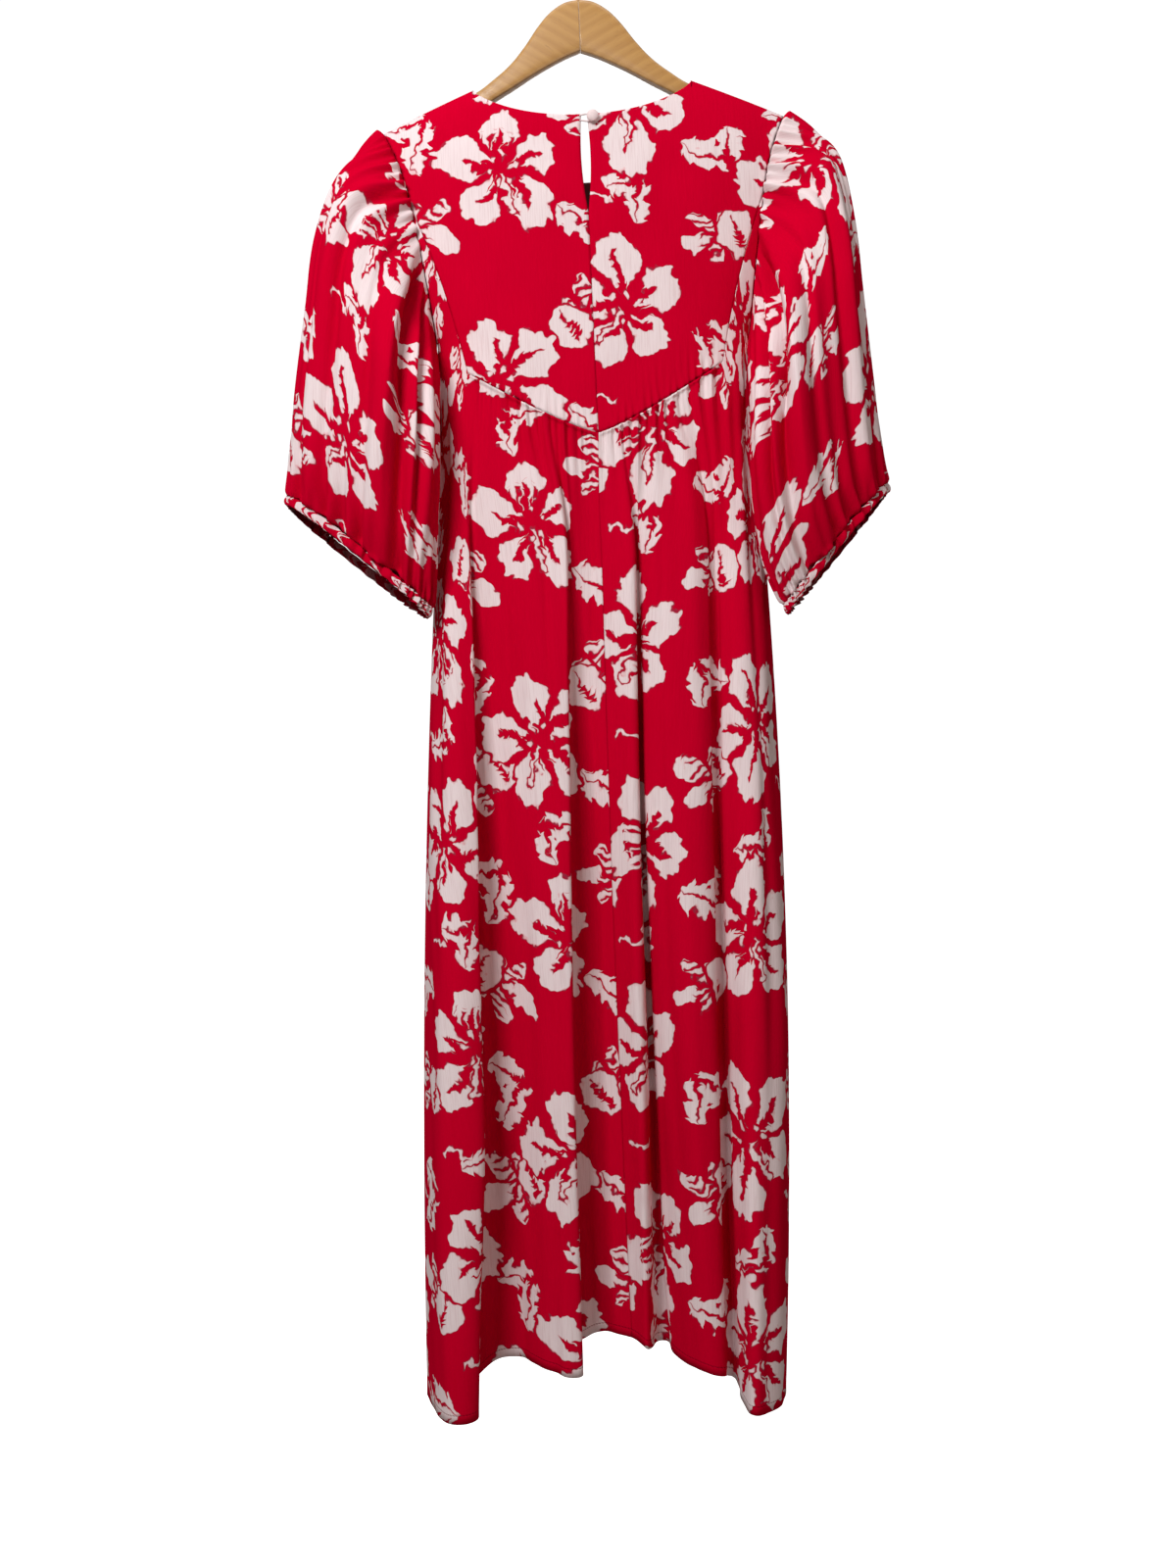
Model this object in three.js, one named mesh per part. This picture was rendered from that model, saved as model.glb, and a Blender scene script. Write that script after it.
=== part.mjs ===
// A loose, back-buttoned dress with gathered yokes and puffed sleeves, on a wooden hanger.
// Millimetres. +X runs to the right as the garment's back is seen, +Y from its back to its front, and
// +Z up. The origin is the point inside the hook where a rail or a peg holds it.

import * as THREE from "three";

// Cloth and seams
const WALL = 1.5;
const SEAM_GAP = 0.3;
const BACK = -1;
const FRONT = 1;
const LEFT = -1;
const RIGHT = 1;

// The hanger and everything that it carries lean by this angle about the top of the wood.
const LEAN = THREE.MathUtils.degToRad(2.6);
const WOOD_TOP_Z = -62;

// Yoke, in the leaning frame: half-widths, and heights below the top of the wood
const YOKE = {
  neckHalf: 104,
  neckZ: -79.5,
  tipHalf: 192,
  tipZ: -111.5,
  joinHalf: 166,
  joinZ: -194.5,
  cornerHalf: 119,
  cornerZ: -355.5,
  centreZ: -419.5,
  bottomPower: 1.25,
  underarmHalf: 148.5,
  underarmZ: -322,
};
const NECK_DROP = { [BACK]: 41, [FRONT]: 80 };
const NECK_POWER = 0.6;
const ARMHOLE_HOLLOW = 3;
const SLANTED_HOLLOW = 4;
const UNDERARM_POWER = 1.3;
const SHOULDER_SLOPE = (YOKE.neckZ - YOKE.tipZ) / (YOKE.tipHalf - YOKE.neckHalf);
const SLIT = { length: 94, topGap: 5.4, midGap: 8.4 };

// Half-depth of the yokes and the half-width at which their front and back would meet
const YOKE_LEVELS = [
  { z: -60, halfDepth: 25, halfWidth: 236 },
  { z: -112, halfDepth: 28, halfWidth: 226 },
  { z: -195, halfDepth: 33, halfWidth: 190 },
  { z: -322, halfDepth: 37, halfWidth: 148.5 },
  { z: -425, halfDepth: 38, halfWidth: 147 },
];
const CLOSING = 32;
const JOIN_SHARE = 0.32;
const SLIT_REACH = 3;

// Where, in fold lines from a side seam, the skirt's top edge turns from the slanted seam beside the
// yoke to the yoke's bottom edge
const CORNER_LINES = 2.4;
const PANEL_PLACES = [0, 0.4, 0.8, 1.3, 1.8];
const SLANTED_SHARES = PANEL_PLACES.map((place) => JOIN_SHARE + ((1 - JOIN_SHARE) * place) / CORNER_LINES);
const YOKE_DOWN_SHARES = [0, 0.02, 0.06, 0.12, 0.21, ...SLANTED_SHARES, 1];
const YOKE_ACROSS_STEPS = 12;
const ARMHOLE_SHARES = [1, 0.86, 0.66, 0.42, 0.18, 0];
const ARM_SWEEP = 14;
const SWEEP_FADE = 160;
const ARM_REACH = 190;

// Fold lines of the back skirt, from the left side seam to the right one. Each runs from the yoke's
// level down to the hem and says where it lies there, across (x) and in depth (y).
const YOKE_LEVEL_Z = -470;
const MID_LEVEL_Z = -800;
const HEM_LEVEL_Z = -1370;
const SIDE_SEAM_Y = 2;
const BACK_LINES = [
  { line: "left side seam", xYoke: -130, xMid: -143, xHem: -144, yYoke: 2, yMid: 2, yHem: 2, hemZ: -1385 },
  { line: "left column", xYoke: -121, xMid: -125, xHem: -120, yYoke: -14, yMid: -42, yHem: -60, hemZ: -1391 },
  { line: "left column edge", xYoke: -110, xMid: -93, xHem: -91, yYoke: -25, yMid: -46, yHem: -58, hemZ: -1389 },
  { line: "behind left column", xYoke: -97, xMid: -97, xHem: -97, yYoke: -28, yMid: -24, yHem: -14, hemZ: -1366 },
  { line: "left hollow", xYoke: -81, xMid: -81, xHem: -74, yYoke: -31, yMid: -18, yHem: -3, hemZ: -1349 },
  { line: "left slope", xYoke: -55, xMid: -51, xHem: -38, yYoke: -34, yMid: -34, yHem: -24, hemZ: -1344 },
  { line: "left panel", xYoke: -27, xMid: -20, xHem: -11, yYoke: -37, yMid: -50, yHem: -50, hemZ: -1346 },
  { line: "left panel edge", xYoke: -12, xMid: -8, xHem: 4, yYoke: -39, yMid: -46, yHem: -42, hemZ: -1345 },
  { line: "behind left panel", xYoke: -6, xMid: -9, xHem: 1, yYoke: -36, yMid: -24, yHem: -10, hemZ: -1333 },
  { line: "middle hollow", xYoke: 6, xMid: 8, xHem: 21, yYoke: -36, yMid: -20, yHem: -1, hemZ: -1324 },
  { line: "centre seam", xYoke: 19, xMid: 28, xHem: 53, yYoke: -38, yMid: -29, yHem: -17, hemZ: -1323 },
  { line: "middle ridge", xYoke: 46, xMid: 52, xHem: 66, yYoke: -40, yMid: -40, yHem: -32, hemZ: -1328 },
  { line: "narrow hollow", xYoke: 56, xMid: 61, xHem: 86, yYoke: -33, yMid: -18, yHem: -5, hemZ: -1332 },
  { line: "right panel edge", xYoke: 65, xMid: 69, xHem: 99, yYoke: -37, yMid: -36, yHem: -26, hemZ: -1340 },
  { line: "right panel", xYoke: 92, xMid: 97, xHem: 121, yYoke: -37, yMid: -52, yHem: -50, hemZ: -1343 },
  { line: "right panel side", xYoke: 119, xMid: 124, xHem: 140, yYoke: -33, yMid: -42, yHem: -38, hemZ: -1350 },
  { line: "right hollow", xYoke: 125, xMid: 131, xHem: 147, yYoke: -29, yMid: -24, yHem: -22, hemZ: -1360 },
  { line: "right column edge", xYoke: 131, xMid: 137, xHem: 151, yYoke: -28, yMid: -36, yHem: -42, hemZ: -1370 },
  { line: "right column", xYoke: 146, xMid: 158, xHem: 164, yYoke: -24, yMid: -48, yHem: -60, hemZ: -1379 },
  { line: "right column side", xYoke: 160, xMid: 180, xHem: 188, yYoke: -14, yMid: -32, yHem: -38, hemZ: -1382 },
  { line: "right side seam", xYoke: 168, xMid: 192, xHem: 198, yYoke: 2, yMid: 2, yHem: 2, hemZ: -1380 },
];
const LAST_LINE = BACK_LINES.length - 1;
const CENTRE_LINE = LAST_LINE / 2;
const FRONT_DEPTH_SHARE = 0.9;

const TOP_FADE = 75;
const PANEL_FREE_FROM = 130;
const PANEL_FREE_TO = 320;
const SKIRT_ROW_DROPS = [0, 7, 16, 28, 44, 66];
const SKIRT_LOWER_ROWS = 9;
const STEPS_PER_LINE = 3;
const GATHERS_PER_HALF_YOKE = 12;
const GATHER_RISE = 8;
const GATHER_FADE = 60;
const GATHER_DEPTH = 2.6;

// Sleeve rings from armhole to cuff: the outer and the inner point of each, and its half-depth
const SLEEVE_RINGS = {
  [LEFT]: [
    { ring: "armhole", outX: -181, outY: 14, outZ: -182, inX: -134, inY: 5, inZ: -390, halfDepth: 24 },
    { ring: "head", outX: -205, outY: 13, outZ: -200, inX: -137, inY: -3, inZ: -406, halfDepth: 34 },
    { ring: "crown", outX: -231, outY: 11, outZ: -231, inX: -132, inY: -19, inZ: -430, halfDepth: 45 },
    { ring: "upper arm", outX: -249, outY: 8, outZ: -288, inX: -129, inY: -30, inZ: -466, halfDepth: 53 },
    { ring: "middle", outX: -257, outY: 6, outZ: -354, inX: -127, inY: -37, inZ: -510, halfDepth: 56 },
    { ring: "lower arm", outX: -267, outY: 5, outZ: -430, inX: -128, inY: -41, inZ: -560, halfDepth: 52 },
    { ring: "fullness", outX: -273, outY: 4, outZ: -494, inX: -131, inY: -40, inZ: -608, halfDepth: 44 },
    { ring: "cuff seam", outX: -274, outY: 4, outZ: -533, inX: -135, inY: -34, inZ: -643, halfDepth: 33 },
  ],
  [RIGHT]: [
    { ring: "armhole", outX: 202, outY: 14, outZ: -165, inX: 163, inY: 5, inZ: -377, halfDepth: 24 },
    { ring: "head", outX: 225, outY: 13, outZ: -180, inX: 165, inY: -3, inZ: -394, halfDepth: 34 },
    { ring: "crown", outX: 247, outY: 11, outZ: -208, inX: 162, inY: -20, inZ: -420, halfDepth: 45 },
    { ring: "upper arm", outX: 260, outY: 8, outZ: -268, inX: 160, inY: -34, inZ: -458, halfDepth: 53 },
    { ring: "middle", outX: 268, outY: 6, outZ: -338, inX: 158, inY: -44, inZ: -503, halfDepth: 56 },
    { ring: "lower arm", outX: 278, outY: 5, outZ: -417, inX: 160, inY: -48, inZ: -552, halfDepth: 52 },
    { ring: "fullness", outX: 287, outY: 4, outZ: -488, inX: 171, inY: -46, inZ: -603, halfDepth: 44 },
    { ring: "cuff seam", outX: 291, outY: 4, outZ: -521, inX: 190, inY: -40, inZ: -640, halfDepth: 33 },
  ],
};
const RING_POWER = 2.2;
const JOIN_ANGLE = 75;
const ARMHOLE_FADE = 1.6;
const UPPER_HEAD_STEPS = 12;
const HEAD_GATHER_REACH = 111;
const HEAD_GATHER_DEPTH = 2.6;
const LOWER_GATHER_DEPTH = 1.6;
const HEAD_ANGLES = [
  ...Array.from({ length: UPPER_HEAD_STEPS }, (_, k) => (k * JOIN_ANGLE) / UPPER_HEAD_STEPS),
  75, 82.35, 89.7, 100.2, 110.7, 135.9, 161.1, 180,
];
const CUFF_GATHERS = 36;
const CUFF_GATHER_DEPTH = 1.7;
const CUFF_WIDTH = 9;
const CUFF_LEAN = 0.35;
const CUFF_BACK_RISE = 5;

// Folds of a sleeve: angle round the ring (0 outer, 90 the garment's back, 180 inner, 270 its front),
// reach to each side in degrees, and depth at head, middle and cuff. A minus sign makes a hollow.
const SLEEVE_FOLDS = [
  { fold: "outer ridge", angle: 52, reach: 13, head: 3, middle: 5, cuff: 3 },
  { fold: "outer hollow", angle: 76, reach: 12, head: -2, middle: -6, cuff: -4 },
  { fold: "long ridge", angle: 108, reach: 13, head: 3, middle: 8, cuff: 4 },
  { fold: "long hollow", angle: 130, reach: 8, head: -6, middle: -10, cuff: -4 },
  { fold: "inner ridge", angle: 148, reach: 9, head: 2, middle: 5, cuff: 3 },
  { fold: "ridge over the body", angle: 163, reach: 11, head: 5, middle: 3, cuff: 0 },
  { fold: "hollow beside the body", angle: 203, reach: 10, head: -4, middle: -7, cuff: 0 },
  { fold: "front inner ridge", angle: 222, reach: 8, head: 0, middle: 2, cuff: 3 },
  { fold: "front long hollow", angle: 232, reach: 10, head: -5, middle: -9, cuff: -4 },
  { fold: "front long ridge", angle: 256, reach: 13, head: 3, middle: 7, cuff: 4 },
  { fold: "front outer hollow", angle: 286, reach: 12, head: -2, middle: -6, cuff: -3 },
  { fold: "front outer ridge", angle: 310, reach: 13, head: 3, middle: 5, cuff: 3 },
];

// Hanger wood, in the leaning frame: top and bottom edges below its peak
const WOOD_PROFILE = [
  { x: 0, top: 0, bottom: 48.8 },
  { x: 14, top: 2.6, bottom: 54 },
  { x: 28, top: 11.5, bottom: 60.5 },
  { x: 40, top: 24.6, bottom: 66.5 },
  { x: 52, top: 41, bottom: 73 },
  { x: 66, top: 57, bottom: 81 },
  { x: 82, top: 70, bottom: 89.5 },
  { x: 104, top: 83.8, bottom: 102 },
  { x: 145, top: 98.3, bottom: 116.5 },
  { x: 174, top: 108.9, bottom: 125.5 },
  { x: 182, top: 114.5, bottom: 123.5 },
];
const WOOD_THICKNESS = 12;
const WOOD_ROUNDING = 3;
const HOOK = { wire: 3.5, innerRadius: 19, tipAngle: 200, turnAngle: -42, sides: 4, steps: 22 };
const SHANK = { height: 16, bend: 3, topX: 5, lowX: 0.6 };
const BUTTON = { radius: 5.6, height: 6.4, rim: 1.2, stem: 2.4, stemRadius: 1.6, x: 8, z: -124.5, sides: 16 };
const LOOP = { wire: 1.5, sides: 3, steps: 16 };

// The loop's path round the button's stem: across, and up or down from the button's middle
const LOOP_PATH = [
  { x: -4.2, z: 2.2 },
  { x: 0, z: 3 },
  { x: 4.5, z: 3.4 },
  { x: 8, z: 3.3 },
  { x: 10.6, z: 1.8 },
  { x: 10.9, z: -0.6 },
  { x: 9.2, z: -2.8 },
  { x: 6, z: -3.6 },
  { x: 2, z: -3.6 },
  { x: -4.2, z: -2.4 },
];

const lerp = THREE.MathUtils.lerp;
const clamp = THREE.MathUtils.clamp;

// 0 at one limit and 1 at the other, with a soft start and end. The limits may stand in either order.
function smooth(from, to, at) {
  const share = clamp((at - from) / (to - from), 0, 1);
  return share * share * (3 - 2 * share);
}

// A smooth curve through four neighbouring values, between the middle two.
function throughFour(before, from, to, after, share) {
  const startSlope = (to - before) / 2;
  const endSlope = (after - from) / 2;
  const s2 = share * share;
  const s3 = s2 * share;
  return (
    from * (2 * s3 - 3 * s2 + 1) +
    startSlope * (s3 - 2 * s2 + share) +
    to * (3 * s2 - 2 * s3) +
    endSlope * (s3 - s2)
  );
}

// The value of one column of a table at a place counted in rows.
function atRow(rows, place, column) {
  const last = rows.length - 1;
  const row = clamp(Math.floor(place), 0, last - 1);
  const value = (index) => rows[clamp(index, 0, last)][column];
  return throughFour(value(row - 1), value(row), value(row + 1), value(row + 2), place - row);
}

// The value of one column of a table at a value of its key column, with straight steps between rows.
function atKey(rows, key, at, column) {
  const rising = rows[rows.length - 1][key] > rows[0][key];
  const sign = rising ? 1 : -1;
  let row = 0;
  while (row < rows.length - 2 && sign * at > sign * rows[row + 1][key]) row++;
  const share = clamp((at - rows[row][key]) / (rows[row + 1][key] - rows[row][key]), 0, 1);
  return lerp(rows[row][column], rows[row + 1][column], share);
}

// A point of the leaning frame as a point of the part's frame.
function lean(x, y, z) {
  return new THREE.Vector3(
    x * Math.cos(LEAN) - z * Math.sin(LEAN),
    y,
    WOOD_TOP_Z + x * Math.sin(LEAN) + z * Math.cos(LEAN),
  );
}

// The leaning frame's x and z of a point of the part's frame.
function unlean(at) {
  const below = at.z - WOOD_TOP_Z;
  return [at.x * Math.cos(LEAN) + below * Math.sin(LEAN), below * Math.cos(LEAN) - at.x * Math.sin(LEAN)];
}

// How far a point of the leaning frame lies below the line of the shoulders.
function belowShoulder(x, z) {
  return YOKE.neckZ - SHOULDER_SLOPE * (Math.abs(x) - YOKE.neckHalf) - z;
}

// Depth of the yoke's outer face at a point of the leaning frame.
function yokeDepth(x, z, face) {
  const below = Math.max(belowShoulder(x, z), 0);
  const across = Math.min(Math.abs(x) / atKey(YOKE_LEVELS, "z", z, "halfWidth"), 1);
  const bulge = Math.sqrt(1 - across ** 3) * Math.sqrt(1 - Math.exp(-below / CLOSING));
  const sweep = ARM_SWEEP * (x / ARM_REACH) ** 2 * Math.exp(-below / SWEEP_FADE);
  return sweep + face * atKey(YOKE_LEVELS, "z", z, "halfDepth") * bulge;
}

// Outward direction of the yoke's outer face at a point of the leaning frame.
function yokeNormal(x, z, face) {
  const step = 1;
  const acrossSlope = (yokeDepth(x + step, z, face) - yokeDepth(x - step, z, face)) / (2 * step);
  const downSlope = (yokeDepth(x, z, face) - yokeDepth(x, z - step, face)) / step;
  return lean(-face * acrossSlope, face, -face * downSlope).sub(lean(0, 0, 0)).normalize();
}

// Height of the yoke's bottom edge in the leaning frame.
function yokeBottom(x) {
  const rise = YOKE.cornerZ - YOKE.centreZ;
  return YOKE.centreZ + rise * (Math.abs(x) / YOKE.cornerHalf) ** YOKE.bottomPower;
}

// Half the opening of the back slit at a distance below the neckline.
function slitHalf(below) {
  const share = clamp(below / SLIT.length, 0, 1);
  const bow = (SLIT.midGap - SLIT.topGap / 2) * Math.sin(Math.PI * share);
  return (SLIT.topGap * (1 - share) + bow) / 2;
}

// One edge of a yoke half, from the shoulder tip past the armhole to the corner, in the leaning frame.
function yokeOuterEdge(share) {
  if (share < JOIN_SHARE) {
    const f = share / JOIN_SHARE;
    const hollow = ARMHOLE_HOLLOW * Math.sin(Math.PI * f);
    return [lerp(YOKE.tipHalf, YOKE.joinHalf, f) - hollow, lerp(YOKE.tipZ, YOKE.joinZ, f)];
  }
  const f = (share - JOIN_SHARE) / (1 - JOIN_SHARE);
  const hollow = SLANTED_HOLLOW * Math.sin(Math.PI * f);
  return [lerp(YOKE.joinHalf, YOKE.cornerHalf, f) - hollow, lerp(YOKE.joinZ, YOKE.cornerZ, f)];
}

// The neckline and the shoulder, from the centre to the shoulder tip, in the leaning frame.
function yokeTopEdge(share, face) {
  const neckShare = 0.62;
  if (share < neckShare) {
    const x = YOKE.neckHalf * Math.sin((Math.PI / 2) * (share / neckShare));
    const drop = NECK_DROP[face] * Math.max(1 - (x / YOKE.neckHalf) ** 2, 0) ** NECK_POWER;
    return [x, YOKE.neckZ - drop];
  }
  const f = (share - neckShare) / (1 - neckShare);
  return [lerp(YOKE.neckHalf, YOKE.tipHalf, f), lerp(YOKE.neckZ, YOKE.tipZ, f)];
}

// A point of a yoke half in the leaning frame: a patch between its four edges.
function yokePatch(across, down, face) {
  const top = yokeTopEdge(across, face);
  const bottomX = YOKE.cornerHalf * across;
  const bottom = [bottomX, yokeBottom(bottomX)];
  const topCentreZ = YOKE.neckZ - NECK_DROP[face];
  const centre = [0, lerp(topCentreZ, YOKE.centreZ, down)];
  const outer = yokeOuterEdge(down);
  const corners = [
    [0, topCentreZ],
    [YOKE.tipHalf, YOKE.tipZ],
    [0, YOKE.centreZ],
    [YOKE.cornerHalf, YOKE.cornerZ],
  ];
  return [0, 1].map(
    (k) =>
      (1 - down) * top[k] +
      down * bottom[k] +
      (1 - across) * centre[k] +
      across * outer[k] -
      (1 - down) * ((1 - across) * corners[0][k] + across * corners[1][k]) -
      down * ((1 - across) * corners[2][k] + across * corners[3][k]),
  );
}

// Rows of points of one yoke half or, for both sides, of a whole yoke, from left to right.
function yokeRows(sides, face) {
  const shares = Array.from({ length: YOKE_ACROSS_STEPS + 1 }, (_, k) => k / YOKE_ACROSS_STEPS);
  const left = shares.map((share) => -share).reverse();
  const places = sides.length === 2 ? [...left.slice(0, -1), ...shares] : sides[0] === LEFT ? left : shares;
  return YOKE_DOWN_SHARES.map((down) => places.map((place) => yokePoint(place, down, sides, face)));
}

// One point of a yoke with its outward direction. A lone half stops at the slit or the centre seam.
function yokePoint(place, down, sides, face) {
  const side = place < 0 || sides[0] === sides[sides.length - 1] ? sides[0] : RIGHT;
  let [x, z] = yokePatch(Math.abs(place), down, face);
  if (sides.length === 1) {
    const below = YOKE.neckZ - NECK_DROP[face] - z;
    const nearCentre = Math.max(1 - Math.abs(place) * SLIT_REACH, 0);
    x += nearCentre * Math.max(slitHalf(below), SEAM_GAP / 2);
  }
  const at = lean(side * x, yokeDepth(x, z, face), z);
  const normal = yokeNormal(side * x, z, face);
  const onShoulder = down === 0 && x >= YOKE.neckHalf - 1;
  if (down === 0) at.y += (face * SEAM_GAP) / 2;
  if (onShoulder) normal.copy(lean(side * SHOULDER_SLOPE, 0, 1).sub(lean(0, 0, 0)).normalize());
  if (sides.length === 1 && place === 0) normal.setX(0).normalize();
  return { at, u: place, normal };
}

// A value of a fold line at a height: a parabola through its three stated values.
function lineAt(line, axis, z) {
  const down = clamp((YOKE_LEVEL_Z - z) / (YOKE_LEVEL_Z - HEM_LEVEL_Z), 0, 1);
  const mid = (YOKE_LEVEL_Z - MID_LEVEL_Z) / (YOKE_LEVEL_Z - HEM_LEVEL_Z);
  const [top, middle, hem] = [line[axis + "Yoke"], line[axis + "Mid"], line[axis + "Hem"]];
  return (
    (top * (down - mid) * (down - 1)) / mid +
    (middle * down * (down - 1)) / (mid * (mid - 1)) +
    (hem * down * (down - mid)) / (1 - mid)
  );
}

// The front's fold lines: the back's, turned end for end, stretched between the same side seams and
// laid to the other side of them in depth.
function frontLines() {
  const mirrored = BACK_LINES.map((line) => ({ ...line })).reverse();
  for (const name of ["xYoke", "xMid", "xHem", "hemZ"]) {
    const turn = name === "hemZ" ? 1 : -1;
    const first = BACK_LINES[0][name];
    const last = BACK_LINES[LAST_LINE][name];
    const start = turn * mirrored[0][name];
    const end = turn * mirrored[LAST_LINE][name];
    mirrored.forEach((line, index) => {
      const share = index / LAST_LINE;
      line[name] = turn * line[name] + lerp(first - start, last - end, share);
    });
  }
  for (const name of ["yYoke", "yMid", "yHem"])
    for (const line of mirrored)
      line[name] = SIDE_SEAM_Y + (SIDE_SEAM_Y - line[name]) * FRONT_DEPTH_SHARE;
  return mirrored;
}

const LINES = { [BACK]: BACK_LINES, [FRONT]: frontLines() };

// A point of the free-hanging skirt at a place counted in fold lines and a height.
function skirtSection(place, z, face) {
  const lines = LINES[face];
  const row = clamp(Math.floor(place), 0, LAST_LINE - 1);
  const value = (index, axis) => lineAt(lines[clamp(index, 0, LAST_LINE)], axis, z);
  const [x, y] = ["x", "y"].map((axis) =>
    throughFour(
      value(row - 1, axis),
      value(row, axis),
      value(row + 1, axis),
      value(row + 2, axis),
      place - row,
    ),
  );
  return new THREE.Vector3(x, y, z);
}

// The lower armhole, from the underarm (0) to the end of the yoke's edge (1).
function lowerArmhole(share, side, face) {
  const x = lerp(YOKE.underarmHalf, YOKE.joinHalf + SEAM_GAP, share ** UNDERARM_POWER);
  const z = lerp(YOKE.underarmZ, YOKE.joinZ, share);
  const middle = lerp(SIDE_SEAM_Y, 0, share);
  return lean(side * x, share === 0 ? SIDE_SEAM_Y : yokeDepth(x, z, face) + middle * (1 - share), z);
}

// The top edge of the skirt at a place counted in fold lines, from armhole to armhole.
function skirtTop(place, face) {
  const side = place < CENTRE_LINE ? LEFT : RIGHT;
  const fromSide = side === LEFT ? place : LAST_LINE - place;
  if (fromSide <= CORNER_LINES) {
    const [x, z] = yokeOuterEdge(lerp(JOIN_SHARE, 1, fromSide / CORNER_LINES));
    return lean(side * (x + SEAM_GAP), yokeDepth(x, z, face), z);
  }
  const share = 1 - (fromSide - CORNER_LINES) / (CENTRE_LINE - CORNER_LINES);
  const x = YOKE.cornerHalf * share;
  const z = yokeBottom(x) - SEAM_GAP;
  return lean(side * x, yokeDepth(x, z, face), z);
}

// Height of a row of the skirt that starts at one height and ends at another.
function rowHeight(row, topZ, hemZ) {
  const last = SKIRT_ROW_DROPS.length - 1;
  if (row <= last) return topZ - SKIRT_ROW_DROPS[row];
  return lerp(topZ - SKIRT_ROW_DROPS[last], hemZ, (row - last) / SKIRT_LOWER_ROWS);
}

// A point under the yoke's bottom edge: it starts on the seam and settles into its fold line.
function hangingPoint(place, row, face) {
  const top = skirtTop(place, face);
  const z = rowHeight(row, top.z, atRow(LINES[face], place, "hemZ"));
  const pull = Math.exp(-(((top.z - z) / TOP_FADE) ** 2));
  const at = skirtSection(place, z, face).lerp(top, pull);
  at.z = z;
  return at;
}

// A point on the side edge: the armhole down to the underarm, then the side seam.
function sidePoint(side, row, face) {
  const last = SKIRT_ROW_DROPS.length - 1;
  const place = side === LEFT ? 0 : LAST_LINE;
  if (row <= last) return lowerArmhole(ARMHOLE_SHARES[row], side, face);
  const underarm = lowerArmhole(0, side, face);
  const share = (row - last) / SKIRT_LOWER_ROWS;
  const z = lerp(underarm.z, atRow(LINES[face], place, "hemZ"), share);
  const at = skirtSection(place, z, face);
  const settled = skirtSection(place, underarm.z, face);
  at.x += (underarm.x - settled.x) * Math.exp(-(((underarm.z - z) / TOP_FADE) ** 2));
  return at;
}

// A point of the narrow panel that reaches up beside the yoke, between armhole and slanted seam.
function panelPoint(place, row, face) {
  const side = place < CENTRE_LINE ? LEFT : RIGHT;
  const share = (side === LEFT ? place : LAST_LINE - place) / CORNER_LINES;
  const corner = side === LEFT ? CORNER_LINES : LAST_LINE - CORNER_LINES;
  const top = skirtTop(place, face);
  const at = sidePoint(side, row, face).lerp(hangingPoint(corner, row, face), share);
  const straightTop = sidePoint(side, 0, face).lerp(hangingPoint(corner, 0, face), share);
  const pull = Math.exp(-(((straightTop.z - at.z) / TOP_FADE) ** 2));
  at.x += (top.x - straightTop.x) * pull;
  at.z += (top.z - straightTop.z) * pull;
  const section = skirtSection(place, at.z, face);
  const drop = straightTop.z - at.z;
  const settled = lerp((1 - pull) * smooth(0.1, 0.8, share), 1, smooth(PANEL_FREE_FROM, PANEL_FREE_TO, drop));
  const [x, z] = unlean(at);
  at.x = lerp(at.x, section.x, settled);
  at.y = row === 0 ? top.y : lerp(yokeDepth(Math.abs(x), z, face), section.y, settled);
  return at;
}

function skirtPoint(place, row, face) {
  const fromSide = Math.min(place, LAST_LINE - place);
  if (fromSide < 1e-9) return sidePoint(place < 1 ? LEFT : RIGHT, row, face);
  if (fromSide < CORNER_LINES) return panelPoint(place, row, face);
  return hangingPoint(place, row, face);
}

// Gathers below the yoke: waves that rise just under the seam and fade down the skirt.
function skirtGather(place, row) {
  const drop = -rowHeight(row, 0, HEM_LEVEL_Z - YOKE_LEVEL_Z);
  const fromSide = Math.min(place, LAST_LINE - place);
  if (fromSide < CORNER_LINES) return 0;
  const share = (fromSide - CORNER_LINES) / (CENTRE_LINE - CORNER_LINES);
  const wave = Math.cos(2 * Math.PI * GATHERS_PER_HALF_YOKE * share);
  const uneven = 0.7 + 0.3 * Math.sin(9 * share + 1);
  const ends = smooth(0, 0.04, share) * smooth(1, 0.96, share);
  return GATHER_DEPTH * wave * uneven * ends * smooth(0, GATHER_RISE, drop) * Math.exp(-drop / GATHER_FADE);
}

// Rows of skirt points between two places. The gathered rows have a point on each crest and hollow.
function skirtRows(from, to, face) {
  const gatherStep = (CENTRE_LINE - CORNER_LINES) / (2 * GATHERS_PER_HALF_YOKE);
  const half = [...PANEL_PLACES];
  for (let k = 0; k < 2 * GATHERS_PER_HALF_YOKE; k++) half.push(CORNER_LINES + k * gatherStep);
  const mirrored = half.map((place) => LAST_LINE - place).reverse();
  const topPlaces = [...half, CENTRE_LINE, ...mirrored].filter((place) => place >= from && place <= to);
  const lowCount = (to - from) * STEPS_PER_LINE + 1;
  const lowPlaces = Array.from({ length: lowCount }, (_, k) => from + k / STEPS_PER_LINE);
  const rowCount = SKIRT_ROW_DROPS.length + SKIRT_LOWER_ROWS;
  return Array.from({ length: rowCount }, (_, row) => {
    const places = row < SKIRT_ROW_DROPS.length ? topPlaces : lowPlaces;
    return places.map((place) => ({
      at: skirtPoint(place, row, face),
      u: place,
      normal: skirtNormal(place, row, face),
      gather: skirtGather(place, row),
    }));
  });
}

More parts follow.
